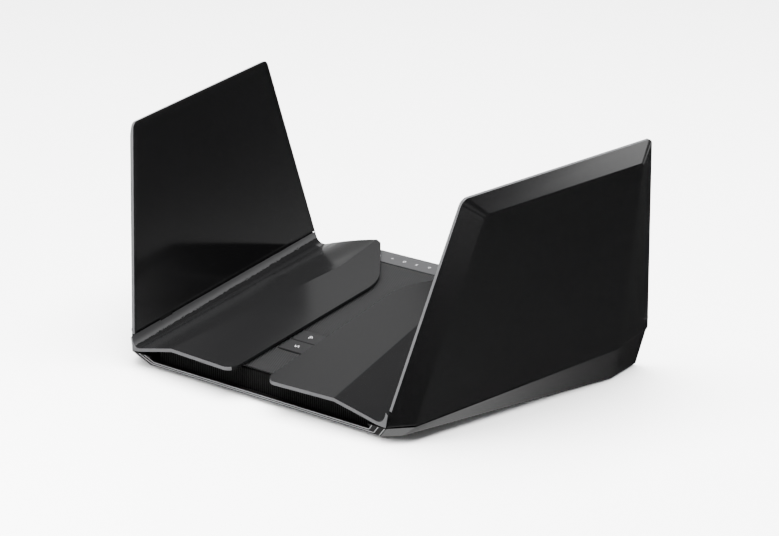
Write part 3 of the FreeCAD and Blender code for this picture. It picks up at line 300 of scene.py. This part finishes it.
# ---------------------------------------------------------------- outlines and meshes
def arcs(corners: Array, radii: Array, steps: int) -> Array:
    """Rounds each corner of a closed outline with an arc tangent to both sides.

    The centre stands on the corner's bisector at radius / sin(half angle), and the arc is swept by
    blending its two end spokes with sines, so every corner has the same number of points.

    Args:
        corners: K corners in order, K x 2.
        radii: One radius for each corner.
        steps: Spans in each arc.

    Returns:
        K x (steps + 1) x 2 points.
    """
    back = np.roll(corners, 1, axis=0) - corners
    ahead = np.roll(corners, -1, axis=0) - corners
    back /= np.linalg.norm(back, axis=1, keepdims=True)
    ahead /= np.linalg.norm(ahead, axis=1, keepdims=True)
    half = 0.5 * np.arccos(np.clip((back * ahead).sum(1), -1.0, 1.0))
    bisector = back + ahead
    bisector /= np.linalg.norm(bisector, axis=1, keepdims=True)
    centre = corners + bisector * (radii / np.sin(half))[:, None]
    reach = (radii / np.tan(half))[:, None]
    first = corners + back * reach - centre
    last = corners + ahead * reach - centre
    sweep = (math.pi - 2.0 * half)[:, None, None]
    share = np.linspace(0.0, 1.0, steps + 1)[None, :, None]
    blend = np.sin((1.0 - share) * sweep) * first[:, None, :] + np.sin(share * sweep) * last[:, None, :]
    return centre[:, None, :] + blend / np.sin(sweep)


def rounded_loop(corners: Array, radii: Array, steps: int = 12) -> Array:
    """A closed outline with rounded corners, as one run of points."""
    return arcs(np.asarray(corners, float), np.asarray(radii, float), steps).reshape(-1, 2)


def rounded_path(corners: Array, radius: float | Array, steps: int = 12) -> Array:
    """An open path whose inner corners are rounded and whose two ends stay sharp."""
    corners = np.asarray(corners, float)
    inner = arcs(corners, np.broadcast_to(np.asarray(radius, float), len(corners)).copy(), steps)[1:-1]
    return np.concatenate([corners[:1], inner.reshape(-1, 2), corners[-1:]])


def inset(corners: Array, distance: float) -> Array:
    """Moves every side of a counter-clockwise outline inwards by a distance.

    Each corner moves along the sum of its two inward normals, divided by one plus their product.
    """
    corners = np.asarray(corners, float)
    ahead = np.roll(corners, -1, axis=0) - corners
    ahead /= np.linalg.norm(ahead, axis=1, keepdims=True)
    normal = np.stack([-ahead[:, 1], ahead[:, 0]], axis=1)
    before = np.roll(normal, 1, axis=0)
    return corners + (normal + before) * (distance / (1.0 + (normal * before).sum(1)))[:, None]


def grid_faces(rows: int, columns: int, wrap: bool) -> Array:
    """Quads between neighbouring rows of a grid of points; `wrap` joins the last column to the first."""
    row, column = np.meshgrid(np.arange(rows - 1), np.arange(columns if wrap else columns - 1), indexing="ij")
    following = (column + 1) % columns
    quads = [row * columns + column, row * columns + following, (row + 1) * columns + following,
             (row + 1) * columns + column]
    return np.stack(quads, axis=-1).reshape(-1, 4)


@dataclass
class Shape:
    """Points in millimetres and faces, gathered before they become one mesh."""

    points: list[Array] = field(default_factory=list)
    faces: list[list[int]] = field(default_factory=list)
    marks: list[int] = field(default_factory=list)
    count: int = 0

    def add(self, points: Array, faces: list[list[int]]) -> None:
        """Adds points and their faces, in the first material slot."""
        self.points.append(points)
        self.faces.extend([[int(number) + self.count for number in face] for face in faces])
        self.marks.extend([0] * len(faces))
        self.count += len(points)

    def rings(self, rings: list[Array], closed: bool = True, caps: bool = True) -> None:
        """Joins outlines of equal length into a skin in the first material slot.

        Args:
            rings: Outlines, each N x 3.
            closed: Whether each outline closes on itself.
            caps: Whether a flat face shuts the first and the last outline.
        """
        size = len(rings[0])
        bands = grid_faces(2, size, closed)
        self.points.append(np.concatenate(rings))
        for number in range(len(rings) - 1):
            self.faces.extend((bands + number * size + self.count).tolist())
        if caps:
            last = self.count + (len(rings) - 1) * size
            self.faces.append(list(range(self.count + size - 1, self.count - 1, -1)))
            self.faces.append(list(range(last, last + size)))
        self.marks.extend([0] * (len(self.faces) - len(self.marks)))
        self.count += size * len(rings)

    def piece(self, name: str, finishes: list[Finish], sharp: float = 12.0) -> bpy.types.Object:
        """Makes the mesh object, with outward normals and creases where faces meet above an angle."""
        mesh = bpy.data.meshes.new(name)
        mesh.from_pydata((np.concatenate(self.points) * MM).tolist(), [], self.faces)
        for finish in finishes:
            mesh.materials.append(finish.build())
        mesh.polygons.foreach_set("material_index", self.marks)
        return finished(mesh, name, sharp)


def finished(mesh: bpy.types.Mesh, name: str, sharp: float) -> bpy.types.Object:
    """Merges doubles, turns faces outwards, sets the shading and puts the mesh in the scene.

    Args:
        mesh: The raw mesh.
        name: The piece's name.
        sharp: Degrees above which an edge is a crease.

    Returns:
        The piece, at the origin.
    """
    work = bmesh.new()
    work.from_mesh(mesh)
    bmesh.ops.remove_doubles(work, verts=work.verts, dist=1e-7)
    bmesh.ops.recalc_face_normals(work, faces=work.faces)
    work.to_mesh(mesh)
    work.free()
    mesh.polygons.foreach_set("use_smooth", [True] * len(mesh.polygons))
    mesh.set_sharp_from_angle(angle=math.radians(sharp))
    piece = bpy.data.objects.new(name, mesh)
    bpy.context.scene.collection.objects.link(piece)
    return piece


def bevelled(piece: bpy.types.Object, width: float, angle: float = 12.0) -> bpy.types.Object:
    """Breaks the piece's hard edges with a small round, in millimetres."""
    bevel = piece.modifiers.new("edge_round", "BEVEL")
    bevel.width = width * MM
    bevel.segments = 3
    bevel.limit_method = "ANGLE"
    bevel.angle_limit = math.radians(angle)
    bevel.harden_normals = True
    bevel.use_clamp_overlap = True
    return piece


def settle(piece: bpy.types.Object, body: str, slot: str, *nodes: str) -> bpy.types.Object:
    """Rides the piece on its body and lets it stand for CAD nodes."""
    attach(piece, body)
    if nodes:
        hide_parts(*nodes)
    LOG.info("%s rides on %s", piece.name, body)
    return piece


def softened(node: bpy.types.Object, name: str, finishes: list[Finish], width: float,
             angle: float = 25.0) -> bpy.types.Object:
    """A merged copy of a CAD node's mesh, its flat faces joined and its hard edges rounded.

    Args:
        node: The CAD node.
        name: The new piece's name.
        finishes: The piece's finishes, the first one everywhere.
        width: The width of the round in millimetres.
        angle: Degrees above which an edge is hard.

    Returns:
        The new piece.
    """
    work = bmesh.new()
    work.from_mesh(node.data)
    bmesh.ops.remove_doubles(work, verts=work.verts, dist=2e-6)
    bmesh.ops.dissolve_limit(work, angle_limit=math.radians(0.6), verts=work.verts, edges=work.edges)
    mesh = bpy.data.meshes.new(name)
    work.to_mesh(mesh)
    work.free()
    mesh.materials.clear()
    for finish in finishes:
        mesh.materials.append(finish.build())
    mesh.polygons.foreach_set("material_index", [0] * len(mesh.polygons))
    return bevelled(finished(mesh, name, angle), width, angle)


def face_table(mesh: bpy.types.Mesh) -> tuple[Array, Array]:
    """Every face's centre in millimetres and its normal."""
    centres = np.zeros(len(mesh.polygons) * 3)
    normals = np.zeros(len(mesh.polygons) * 3)
    mesh.polygons.foreach_get("center", centres)
    mesh.polygons.foreach_get("normal", normals)
    return centres.reshape(-1, 3) / MM, normals.reshape(-1, 3)


# ---------------------------------------------------------------- wings
@dataclass
class Wing:
    """One antenna wing: a faceted shell, a rim round the opening and a flat inner panel with a hinge roll.

    Points are (along the foot, up the face, out of the face), in millimetres.
    """

    side: Side
    corner: tuple[float, float, float] = (102.3, -99.3, 10.0)
    toe: float = 9.4
    rise: float = 4.2
    splay: float = 10.2
    length: float = 205.6
    height: float = 130.6
    top_front: float = 45.0
    top_rear: float = 190.5
    rim: float = 1.9
    face_depth: float = 9.5
    hinge_up: float = 10.5
    hinge_out: float = 0.2
    roll: float = 2.15
    panel_gap: float = 0.15
    wall: float = 1.8
    foot_lap: float = 0.3
    face_front: float = 12.7
    face_rear: float = 32.9
    face_low: float = 1.8
    face_top_drop: float = 7.6
    face_top_front: float = 9.0
    face_top_rear: float = 15.0
    band_drop: float = 1.35
    panel_lap: float = 0.4
    panel_sink: float = 0.3
    panel_skim: float = 0.02
    slant: float = 1.15
    roll_end: float = 0.4
    roll_spans: int = 48
    outer_radii: tuple[float, ...] = (1.0, 2.0, 3.5, 6.0)
    face_radii: tuple[float, ...] = (1.2, 1.5, 2.2, 4.0)
    floor_radii: tuple[float, ...] = (1.0, 1.6, 2.0, 4.2)
    panel_radii: tuple[float, ...] = (0.4, 0.4, 2.2, 4.0)
    band_radii: tuple[float, ...] = (1.0, 6.0, 3.5, 1.0)
    band_inner: float = 0.7
    shell_round: float = 0.35
    panel_round: float = 0.25

    def place(self, points: Array) -> Array:
        """Turns wing points into the router's frame and mirrors them for the left side."""
        toe, rise, splay = np.radians([self.toe, self.rise, self.splay])
        along = np.array([math.sin(toe) * math.cos(rise), math.cos(toe) * math.cos(rise), math.sin(rise)])
        level = np.array([math.cos(toe), -math.sin(toe), 0.0])
        upright = np.cross(level, along)
        out = level * math.cos(splay) - upright * math.sin(splay)
        up = upright * math.cos(splay) + level * math.sin(splay)
        placed = np.array(self.corner) + points @ np.stack([along, up, out])
        return placed * np.array([self.side.value, 1.0, 1.0])

    def lifted(self, outline: Array, out: float) -> Array:
        """An outline of (along, up) points at a depth, in the router's frame."""
        return self.place(np.column_stack([outline, np.full(len(outline), out)]))

    @property
    def rim_corners(self) -> Array:
        """The rim's corners, counter-clockwise from the lower front."""
        low = -self.foot_lap
        return np.array([(0.0, low), (self.length, low), (self.top_rear, self.height),
                         (self.top_front, self.height)])

    @property
    def face_corners(self) -> Array:
        """The outer face's corners, set in from the rim's, counter-clockwise from the lower front."""
        low, top = self.face_low - self.foot_lap, self.height - self.face_top_drop
        return np.array([(self.face_front, low), (self.length - self.face_rear, low),
                         (self.top_rear - self.face_top_rear, top),
                         (self.top_front + self.face_top_front, top)])

    def upper_corners(self, low: float, edge: float) -> Array:
        """The rim's corners above `low`, set in by `edge`, counter-clockwise from the lower front."""
        lean = self.top_front / self.height
        tail = (self.length - self.top_rear) / self.height
        return np.array([(lean * low + edge, low), (self.length - tail * low - edge, low),
                         (self.top_rear - edge, self.height - edge),
                         (self.top_front + edge * self.slant, self.height - edge)])

    def shell(self) -> bpy.types.Object:
        """Bevels from the rim up to the flat face, with the band of the rim standing inwards from them."""
        shape = Shape()
        outer = rounded_loop(self.rim_corners, self.outer_radii)
        ridge = rounded_loop(self.face_corners, self.face_radii)
        floor = rounded_loop(inset(self.rim_corners, self.wall), self.floor_radii)
        shape.rings([self.lifted(floor, 0.0), self.lifted(outer, 0.0), self.lifted(ridge, self.face_depth)])
        self.band(shape)
        return bevelled(shape.piece(f"{self.side.word}_wing_shell", [SHELL, EDGE_HIGHLIGHT]), self.shell_round)

    def band(self, shape: Shape) -> None:
        """The rim: a square section up the front, over the top and down the rear, its outside painted lighter
        as a highlight.
        """
        low = self.hinge_up - self.band_drop
        upwards = [0, 3, 2, 1]
        radii = np.array(self.band_radii)
        outer = rounded_path(self.upper_corners(low, 0.0)[upwards], radii)
        inner = rounded_path(self.upper_corners(low, self.rim)[upwards], radii * self.band_inner)
        sides = [self.lifted(outer, 0.0), self.lifted(outer, -self.rim),
                 self.lifted(inner, -self.rim), self.lifted(inner, 0.0)]
        first = len(shape.marks)
        shape.rings(list(np.stack(sides, axis=1)))
        # The band's outside faces take the lighter edge finish, a painted highlight.
        shape.marks[first:len(shape.marks) - 2:len(sides)] = [1] * (len(outer) - 1)

    def panel(self) -> bpy.types.Object:
        """The flat inner panel, with the hinge roll along its foot."""
        low = self.hinge_up - self.panel_lap
        corners = self.upper_corners(low, self.rim + self.panel_gap)
        outline = rounded_loop(corners, self.panel_radii)
        shape = Shape()
        depths = (-self.panel_sink, -self.rim + self.panel_skim)
        shape.rings([self.lifted(outline, depth) for depth in depths])
        turn = np.linspace(0.0, 2.0 * math.pi, self.roll_spans, endpoint=False)
        spokes = np.column_stack([self.hinge_up + self.roll * np.cos(turn),
                                  self.hinge_out + self.roll * np.sin(turn)])
        ends = (corners[0, 0] + self.roll_end, corners[1, 0] - self.roll_end)
        shape.rings([self.place(np.column_stack([np.full(len(turn), end), spokes])) for end in ends])
        return bevelled(shape.piece(f"{self.side.word}_wing_panel", [PANEL]), self.panel_round)

    def build(self) -> None:
        """Builds the wing's shell and panel."""
        word = self.side.word
        settle(self.shell(), f"{word}_wing", "wing_shell_plastic", f"{word}_wing_outer_shell")
        settle(self.panel(), f"{word}_wing", "wing_panel_plastic", f"{word}_wing_inner_panel")


# ---------------------------------------------------------------- plates, tray and vent
@dataclass
class CoverPlate:
    """One top plate: its crease, strip and cove, with a painted highlight along its front edge and a painted
    sheen on the cove.
    """

    side: Side
    round_width: float = 0.32
    front_limit: float = -82.0
    facing: float = 0.75
    leaning: float = 0.62
    cove_tilt: float = 0.02
    hard_angle: float = 14.0

    def build(self, nodes: dict[str, bpy.types.Object]) -> None:
        """Rounds the plate's edges, paints a highlight on its front edge with a lighter finish, and gives the
        cove a rougher finish whose lighter colour paints a sheen.
        """
        name = f"{self.side.word}_cover_plate"
        piece = softened(nodes[name], f"{self.side.word}_plate", [PLATE, EDGE_HIGHLIGHT, COVE_SHEEN], self.round_width,
                         self.hard_angle)
        centres, normals = face_table(piece.data)
        # Front-facing faces near the front get the lighter edge finish: a painted highlight.
        front = (normals[:, 1] < -self.facing) & (centres[:, 1] < self.front_limit)
        # Cove faces get a rougher satin finish; its lighter colour is a painted sheen.
        cove_sheen = (-self.side.value * normals[:, 0] > self.leaning) & (normals[:, 2] > self.cove_tilt)
        piece.data.polygons.foreach_set("material_index", np.where(cove_sheen, 2, front.astype(int)))
        settle(piece, "chassis", "plate_plastic", name)


@dataclass
class FrontLip:
    """The tray's low front lip with its nested ridges, and the ribbed intake behind it."""

    foot_y: float = -93.7
    foot_z: float = 1.0
    shoulder_y: float = -99.3
    shoulder_z: float = 9.5
    ridges: tuple[tuple[float, float], ...] = ((92.2, 0.5), (89.4, 2.5), (86.6, 4.5))
    ridge_top: float = 9.9
    ridge_lean: float = 0.93
    ridge_round: float = 2.2
    ridge_wide: float = 0.42
    ridge_proud: float = 0.25
    lip_top: float = 6.5
    lip_half: float = 91.5
    vent_y: float = -91.3
    vent_half: float = 86.5
    vent_low: float = 3.2
    vent_side: float = 11.0
    vent_top: float = 17.3
    vent_knee: float = 63.0
    rib_pitch: float = 1.6
    rib_depth: float = 0.55
    rib_spans: int = 6
    vent_rows: int = 9
    vent_back: float = 0.6
    tray_round: float = 0.3
    lip_facing: float = 0.6
    ledge_facing: float = 0.8
    lip_behind: float = 2.0
    section: tuple[tuple[float, float], ...] = ((-0.5, -0.4), (-0.5, 0.55), (-0.3, 1.0), (0.3, 1.0),
                                                (0.5, 0.55), (0.5, -0.4))

    def slope(self) -> tuple[Array, Array]:
        """Unit vectors up the lip's leaning front and out of it."""
        up = np.array([0.0, self.shoulder_y - self.foot_y, self.shoulder_z - self.foot_z])
        up /= np.linalg.norm(up)
        return up, np.array([0.0, -up[2], up[1]])

    def ridge(self, half: float, rise: float) -> bpy.types.Object:
        """A thin bar along the lip that turns up at both ends, carried on a domed section."""
        spread = half + (self.ridge_top - rise) * self.ridge_lean
        bends = [(-spread, self.ridge_top), (-half, rise), (half, rise), (spread, self.ridge_top)]
        path = rounded_path(bends, self.ridge_round)
        ahead = np.gradient(path, axis=0)
        ahead /= np.linalg.norm(ahead, axis=1, keepdims=True)
        across = np.column_stack([-ahead[:, 1], ahead[:, 0]])
        up, out = self.slope()
        start = np.array([0.0, self.foot_y, self.foot_z])
        rings = []
        for aside, lift in self.section + self.section[:1]:
            flat = path + across * (aside * self.ridge_wide)
            point = start + flat[:, :1] * np.array([1.0, 0.0, 0.0]) + flat[:, 1:] * up
            rings.append(point + out * (lift * self.ridge_proud))
        shape = Shape()
        shape.rings(rings, closed=False, caps=False)
        # The ridges take the light grey ridge finish, a painted highlight.
        return shape.piece(f"lip_ridge_{int(rise) // 2 + 1}", [RIDGE_HIGHLIGHT], 40.0)

    def vent(self) -> bpy.types.Object:
        """Upright ribs, stepped forwards by a rectified cosine of x, under a top line that falls outside."""
        across = np.arange(-self.vent_half, self.vent_half + 0.1, self.rib_pitch / self.rib_spans)
        share = np.linspace(0.0, 1.0, self.vent_rows)
        outer = np.clip((self.vent_half - np.abs(across)) / (self.vent_half - self.vent_knee), 0.0, 1.0)
        top = self.vent_side + (self.vent_top - self.vent_side) * outer
        level = self.vent_low + (top[None, :] - self.vent_low) * share[:, None]
        rib = self.rib_depth * np.abs(np.cos(math.pi * across / self.rib_pitch))
        depth = np.broadcast_to(self.vent_y + self.vent_back - rib, level.shape)
        points = np.stack([np.broadcast_to(across, level.shape), depth, level], axis=-1).reshape(-1, 3)
        shape = Shape()
        shape.add(points, grid_faces(len(share), len(across), False).tolist())
        piece = shape.piece("ribbed_intake", [VENT], 60.0)
        thicken(piece, SHEET_WALL)
        return piece

    def build(self, nodes: dict[str, bpy.types.Object]) -> None:
        """Builds the tray, the ridges and the intake."""
        tray = softened(nodes["base_tray"], "tray", [TRAY, LIP], self.tray_round)
        centres, normals = face_table(tray.data)
        facing = (normals[:, 1] < -self.lip_facing) | (
            (normals[:, 2] > self.ledge_facing) & (centres[:, 2] < self.lip_top))
        near = centres[:, 1] < self.vent_y + self.lip_behind
        front = facing & (np.abs(centres[:, 0]) < self.lip_half) & near
        tray.data.polygons.foreach_set("material_index", front.astype(int))
        settle(tray, "chassis", "tray_plastic", "base_tray")
        for half, rise in self.ridges:
            settle(self.ridge(half, rise), "chassis", "tray_plastic")
        settle(self.vent(), "chassis", "vent_plastic", "front_vent")


def thicken(piece: bpy.types.Object, thickness: float) -> None:
    """Gives a sheet a wall, in millimetres, on the side away from its normals."""
    solid = piece.modifiers.new("wall", "SOLIDIFY")
    solid.thickness = thickness * MM
    solid.offset = -1.0


# ---------------------------------------------------------------- spine
@dataclass
class Spine:
    """The sloping middle: knurled mesh, two keys and the light bar, with plain signs on them."""

    level: float = 40.4
    slope: float = 0.2
    mesh_drop: float = 2.6
    mesh_half: float = 15.4
    flare_y: float = 13.8
    flare_half: float = 45.6
    mesh_front: float = -92.4
    mesh_rear: float = 46.2
    cell: float = 0.38
    knurl: float = 1.5
    knurl_height: float = 0.32
    key_gap: float = 0.35
    key_drop: float = 2.13
    bar_drop: float = 2.5
    waves: tuple[tuple[float, float, float], ...] = ((0.93, 0.38, 0.6), (0.5, -0.87, 0.4))
    key_round: float = 0.35
    key_sign_back: float = 0.3
    bar_round: float = 0.4
    bar_sign_back: float = 1.0
    bar_sign_pitch: float = 10.0
    stroke: float = 0.42
    sign_lift: float = 0.035
    sign_sink: float = 0.1

    def height(self, along: Array, drop: float) -> Array:
        """Height of a plane `drop` below the plates' tops."""
        return self.level + self.slope * along - drop

    def mesh(self) -> bpy.types.Object:
        """Knurl: two families of slanting waves, the steeper one stronger, over the sloping plane."""
        across = np.arange(-self.flare_half, self.flare_half, self.cell)
        along = np.arange(self.mesh_front, self.mesh_rear, self.cell)
        x, y = np.meshgrid(across, along)
        turn = 2.0 * math.pi / self.knurl
        wave = sum(share * np.cos(turn * (right * x + back * y)) for right, back, share in self.waves)
        rise = np.clip(0.5 + 0.5 * wave, 0.0, 1.0)
        z = self.height(y, self.mesh_drop + self.knurl_height) + self.knurl_height * rise
        flare = np.clip((along - self.flare_y) / (self.mesh_rear - self.flare_y), 0.0, 1.0)
        half = self.mesh_half + (self.flare_half - self.mesh_half) * flare
        kept = (np.abs(x) < half[:, None]) & ~self.in_key_window(x, y)
        whole = kept[:-1, :-1] & kept[1:, :-1] & kept[:-1, 1:] & kept[1:, 1:]
        faces = grid_faces(len(along), len(across), False)[whole.reshape(-1)]
        used, faces = np.unique(faces, return_inverse=True)
        points = np.stack([x, y, z], axis=-1).reshape(-1, 3)[used]
        shape = Shape()
        shape.add(points, faces.reshape(-1, 4).tolist())
        piece = shape.piece("spine_mesh", [KNURL], 70.0)
        # The rise attribute drives the grille's painted shade in its troughs.
        grey = piece.data.attributes.new("rise", "FLOAT", "POINT")
        grey.data.foreach_set("value", rise.reshape(-1)[used][:len(piece.data.vertices)])
        thicken(piece, SHEET_WALL)
        return piece

    def in_key_window(self, x: Array, y: Array) -> Array:
        """Whether each point lies in the window that the two keys fill."""
        low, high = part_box("radio_key")[0] / MM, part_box("pairing_key")[1] / MM
        gap = self.key_gap
        return (np.abs(x) < high.x + gap) & (y > low.y - gap) & (y < high.y + gap)

    def sign(self, name: str, strokes: list[Array], centre: tuple[float, float], drop: float, body: str,
             slot: str) -> None:
        """Draws a small sign as flat ribbons a hair above a surface of the spine.

        Args:
            name: The piece's name.
            strokes: Open lines, each N x 2, round the sign's middle.
            centre: The middle on the spine, as x and y.
            drop: The surface's depth below the plates' tops.
            body: The body that the sign rides on.
            slot: The record's slot; not used.
        """
        shape = Shape()
        for stroke in strokes:
            line = stroke + np.array(centre)
            ahead = np.gradient(line, axis=0)
            ahead /= np.linalg.norm(ahead, axis=1, keepdims=True)
            across = np.column_stack([-ahead[:, 1], ahead[:, 0]]) * self.stroke / 2.0
            rings = []
            for flat, lift in ((line - across, -self.sign_sink), (line - across, self.sign_lift),
                               (line + across, self.sign_lift), (line + across, -self.sign_sink)):
                rings.append(np.column_stack([flat, self.height(flat[:, 1], drop) + lift]))
            shape.rings(rings + rings[:1], closed=False, caps=False)
        settle(shape.piece(name, [GLYPH], 30.0), body, slot)

    def wave_strokes(self) -> list[Array]:
        """A lying wave: one and a half turns of a sine."""
        x = np.linspace(-2.0, 2.0, 25)
        return [np.column_stack([x, 0.9 * np.sin(x * math.pi * 0.75)])]

    def pairing_strokes(self) -> list[Array]:
        """Two quarter arcs round a dot."""
        turn = np.linspace(0.1, 1.9, 16)
        small = np.linspace(0.0, 2.0 * math.pi, 12)
        arc = np.column_stack([np.cos(turn), np.sin(turn)])
        dot = 0.24 * np.column_stack([np.cos(small), np.sin(small)])
        return [arc * 1.1 - 0.7, arc * 2.1 - 0.7, dot - 0.7]

    def bar_signs(self) -> list[list[Array]]:
        """Eight plain marks for the lights: dots, rings, bars, arrows and arcs."""
        turn = np.linspace(0.0, 2.0 * math.pi, 14)
        ring = np.column_stack([np.cos(turn), np.sin(turn)])
        arc = ring[1:7]
        line = np.column_stack([np.linspace(-0.9, 0.9, 5), np.zeros(5)])
        arrow = np.array([(-0.8, -0.3), (0.0, 0.7), (0.8, -0.3)])
        return [[ring * 0.3], [arrow], [ring * 0.9], [line + [0.0, 0.5], line - [0.0, 0.5]],
                [arc * 1.1, ring * 0.25], [-arrow], [line, line[:, ::-1]], [ring * 0.3]]

    def build(self, nodes: dict[str, bpy.types.Object]) -> None:
        """Builds the mesh, the keys and the bar, and then their signs."""
        settle(self.mesh(), "chassis", "grille_plastic", "spine_grille")
        for name, strokes in (("radio_key", self.wave_strokes()), ("pairing_key", self.pairing_strokes())):
            settle(softened(nodes[name], name + "_cap", [KEY], self.key_round), name, "key_plastic", name)
            low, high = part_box(name)
            middle = (low + high) / 2.0 / MM
            centre = (0.0, middle.y - self.key_sign_back)
            self.sign(name + "_sign", strokes, centre, self.key_drop, name, "key_plastic")
        strip = softened(nodes["light_bar"], "light_strip", [BAR], self.bar_round)
        settle(strip, "chassis", "light_bar_plastic", "light_bar")
        low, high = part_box("light_bar")
        middle = (low + high) / 2.0 / MM
        signs = self.bar_signs()
        for number, strokes in enumerate(signs):
            place = (number - (len(signs) - 1) / 2.0) * self.bar_sign_pitch
            self.sign(f"light_sign_{number + 1}", strokes, (place, middle.y - self.bar_sign_back),
                      self.bar_drop, "chassis", "light_bar_plastic")


# ---------------------------------------------------------------- studio
@dataclass(frozen=True)
class Softbox:
    """A square soft light, in metres and watts; `glossy` says whether it shows in reflections."""

    name: str
    place: tuple[float, float, float]
    aim: tuple[float, float, float]
    size: float
    power: float
    glossy: bool

    def build(self) -> None:
        """Hangs the light, which never shows to the camera itself."""
        data = bpy.data.lights.new(self.name, "AREA")
        data.size = self.size
        data.energy = self.power
        light = bpy.data.objects.new(self.name, data)
        light.location = self.place
        light.rotation_euler = (Vector(self.place) - Vector(self.aim)).to_track_quat("Z", "Y").to_euler()
        light.visible_glossy = self.glossy
        light.visible_camera = False
        bpy.context.scene.collection.objects.link(light)


MIDDLE = (0.0, 0.0, 0.05)
SOFTBOXES = (
    Softbox("overhead", (0.0, 0.0, 2.6), MIDDLE, 3.0, 900.0, False),
    Softbox("plate_sheen", (-0.39, 0.27, 0.405), (0.05, -0.1, 0.02), 0.2, 0.09, True),
    Softbox("front_fill", (-0.03, -0.4, 0.28), (0.0, -0.1, 0.02), 0.2, 2.5, False),
    Softbox("front_left", (-1.4, -1.9, 1.0), MIDDLE, 1.0, 14.0, True),
    Softbox("rear_right", (1.15, 1.7, 1.75), MIDDLE, 0.9, 20.0, True),
)


@dataclass
class Studio:
    """Pale floor, soft lights and the camera."""

    target: tuple[float, float, float] = (0.02469, -0.0072, 0.0665)
    back: tuple[float, float, float] = (0.62651, -0.72072, 0.29673)
    distance: float = 1.60645
    lens: float = 124.53
    floor_half: float = 9.0
    sky_strength: float = 4.0
    sky: tuple[tuple[float, float], ...] = (
        (-1.0, 0.6), (-0.8, 0.45), (-0.62, 0.13), (-0.5, 0.02), (-0.25, 0.02), (-0.14, 0.5), (-0.05, 0.04),
        (0.05, 0.01), (0.2, 0.25), (0.36, 0.25), (0.48, 0.02), (0.7, 0.01), (1.0, 0.2))

    def camera(self) -> None:
        """A long lens with a level horizon."""
        data = bpy.data.cameras.new("camera")
        data.lens = self.lens
        data.sensor_width = 36.0
        data.clip_end = 100.0
        camera = bpy.data.objects.new("camera", data)
        back = Vector(self.back).normalized()
        camera.location = Vector(self.target) + back * self.distance
        camera.rotation_euler = back.to_track_quat("Z", "Y").to_euler()
        bpy.context.scene.collection.objects.link(camera)
        bpy.context.scene.camera = camera

    def floor(self) -> None:
        """A large pale sheet with a slight gloss."""
        reach = self.floor_half
        mesh = bpy.data.meshes.new("floor")
        points = [(-reach, -reach, 0.0), (reach, -reach, 0.0), (reach, reach, 0.0), (-reach, reach, 0.0)]
        mesh.from_pydata(points, [], [(0, 1, 2, 3)])
        sheet = bpy.data.objects.new("floor", mesh)
        bpy.context.scene.collection.objects.link(sheet)
        finish = Finish("pale_floor", (0.9, 0.9, 0.9), 0.12, specular=0.35, mottling=0.0, cloudiness=0.02,
                        grain_depth=0.0)
        mesh.materials.append(finish.build())
        sheet.visible_glossy = False

    def world(self) -> None:
        """Light by height: pale underneath and overhead, and two pale belts in a dark ring round the horizon.

        The narrow belt lies just below the horizon and the wide one above it.
        """
        world = bpy.data.worlds.new("studio")
        bpy.context.scene.world = world
        world.use_nodes = True
        tree = world.node_tree
        place = wire(tree, "ShaderNodeTexCoord", {}).outputs["Generated"]
        height = wire(tree, "ShaderNodeSeparateXYZ", {0: place})
        share = wire(tree, "ShaderNodeMapRange",
                     {"Value": height.outputs["Z"], "From Min": -1.0, "From Max": 1.0})
        ramp = wire(tree, "ShaderNodeValToRGB", {"Fac": share.outputs[0]})
        ramp.color_ramp.elements[1].position = (self.sky[-1][0] + 1.0) / 2.0
        for level, _ in self.sky[1:-1]:
            ramp.color_ramp.elements.new((level + 1.0) / 2.0)
        for element, (_, value) in zip(ramp.color_ramp.elements, self.sky):
            element.color = (value, value, value, 1.0)
        background = tree.nodes["Background"]
        tree.links.new(ramp.outputs["Color"], background.inputs["Color"])
        background.inputs["Strength"].default_value = self.sky_strength

    def build(self) -> None:
        """Sets up the camera, the floor and the light."""
        self.camera()
        self.floor()
        self.world()
        for light in SOFTBOXES:
            light.build()


def node_slots(frame: dict[str, object]) -> dict[str, str]:
    """The record's material slot for every CAD node."""
    return {entry["node"]: entry["material_slot"] for entry in frame["record"]["subparts"]}


def dress(frame: dict[str, object]) -> None:
    """Gives every CAD node the finish of its slot."""
    slots = node_slots(frame)
    for name, node in frame["nodes"].items():
        finish = SLOT_FINISHES[slots[name]]
        node.data.materials.clear()
        node.data.materials.append(finish.build())


def corners(bounds: tuple[Vector, Vector]) -> list[list[float]]:
    """A box as two plain lists."""
    return [[float(value) for value in corner] for corner in bounds]


def main() -> None:
    """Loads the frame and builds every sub-assembly."""
    logging.basicConfig(level=logging.INFO, format="%(message)s")
    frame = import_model()
    nodes = frame["nodes"]
    dress(frame)
    Studio().build()
    for side in Side:
        Wing(side).build()
        CoverPlate(side).build(nodes)
    FrontLip().build(nodes)
    Spine().build(nodes)
    slots = node_slots(frame)
    for name in REAR_PIECES:
        piece = softened(nodes[name], name + "_moulding", [SLOT_FINISHES[slots[name]]], REAR_ROUND)
        settle(piece, "chassis", slots[name], name)
    for name in BUTTONS:
        piece = softened(nodes[name], name + "_cap", [SLOT_FINISHES["button_plastic"]], BUTTON_ROUND)
        settle(piece, name, "button_plastic", name)


if __name__ == "__main__":
    main()
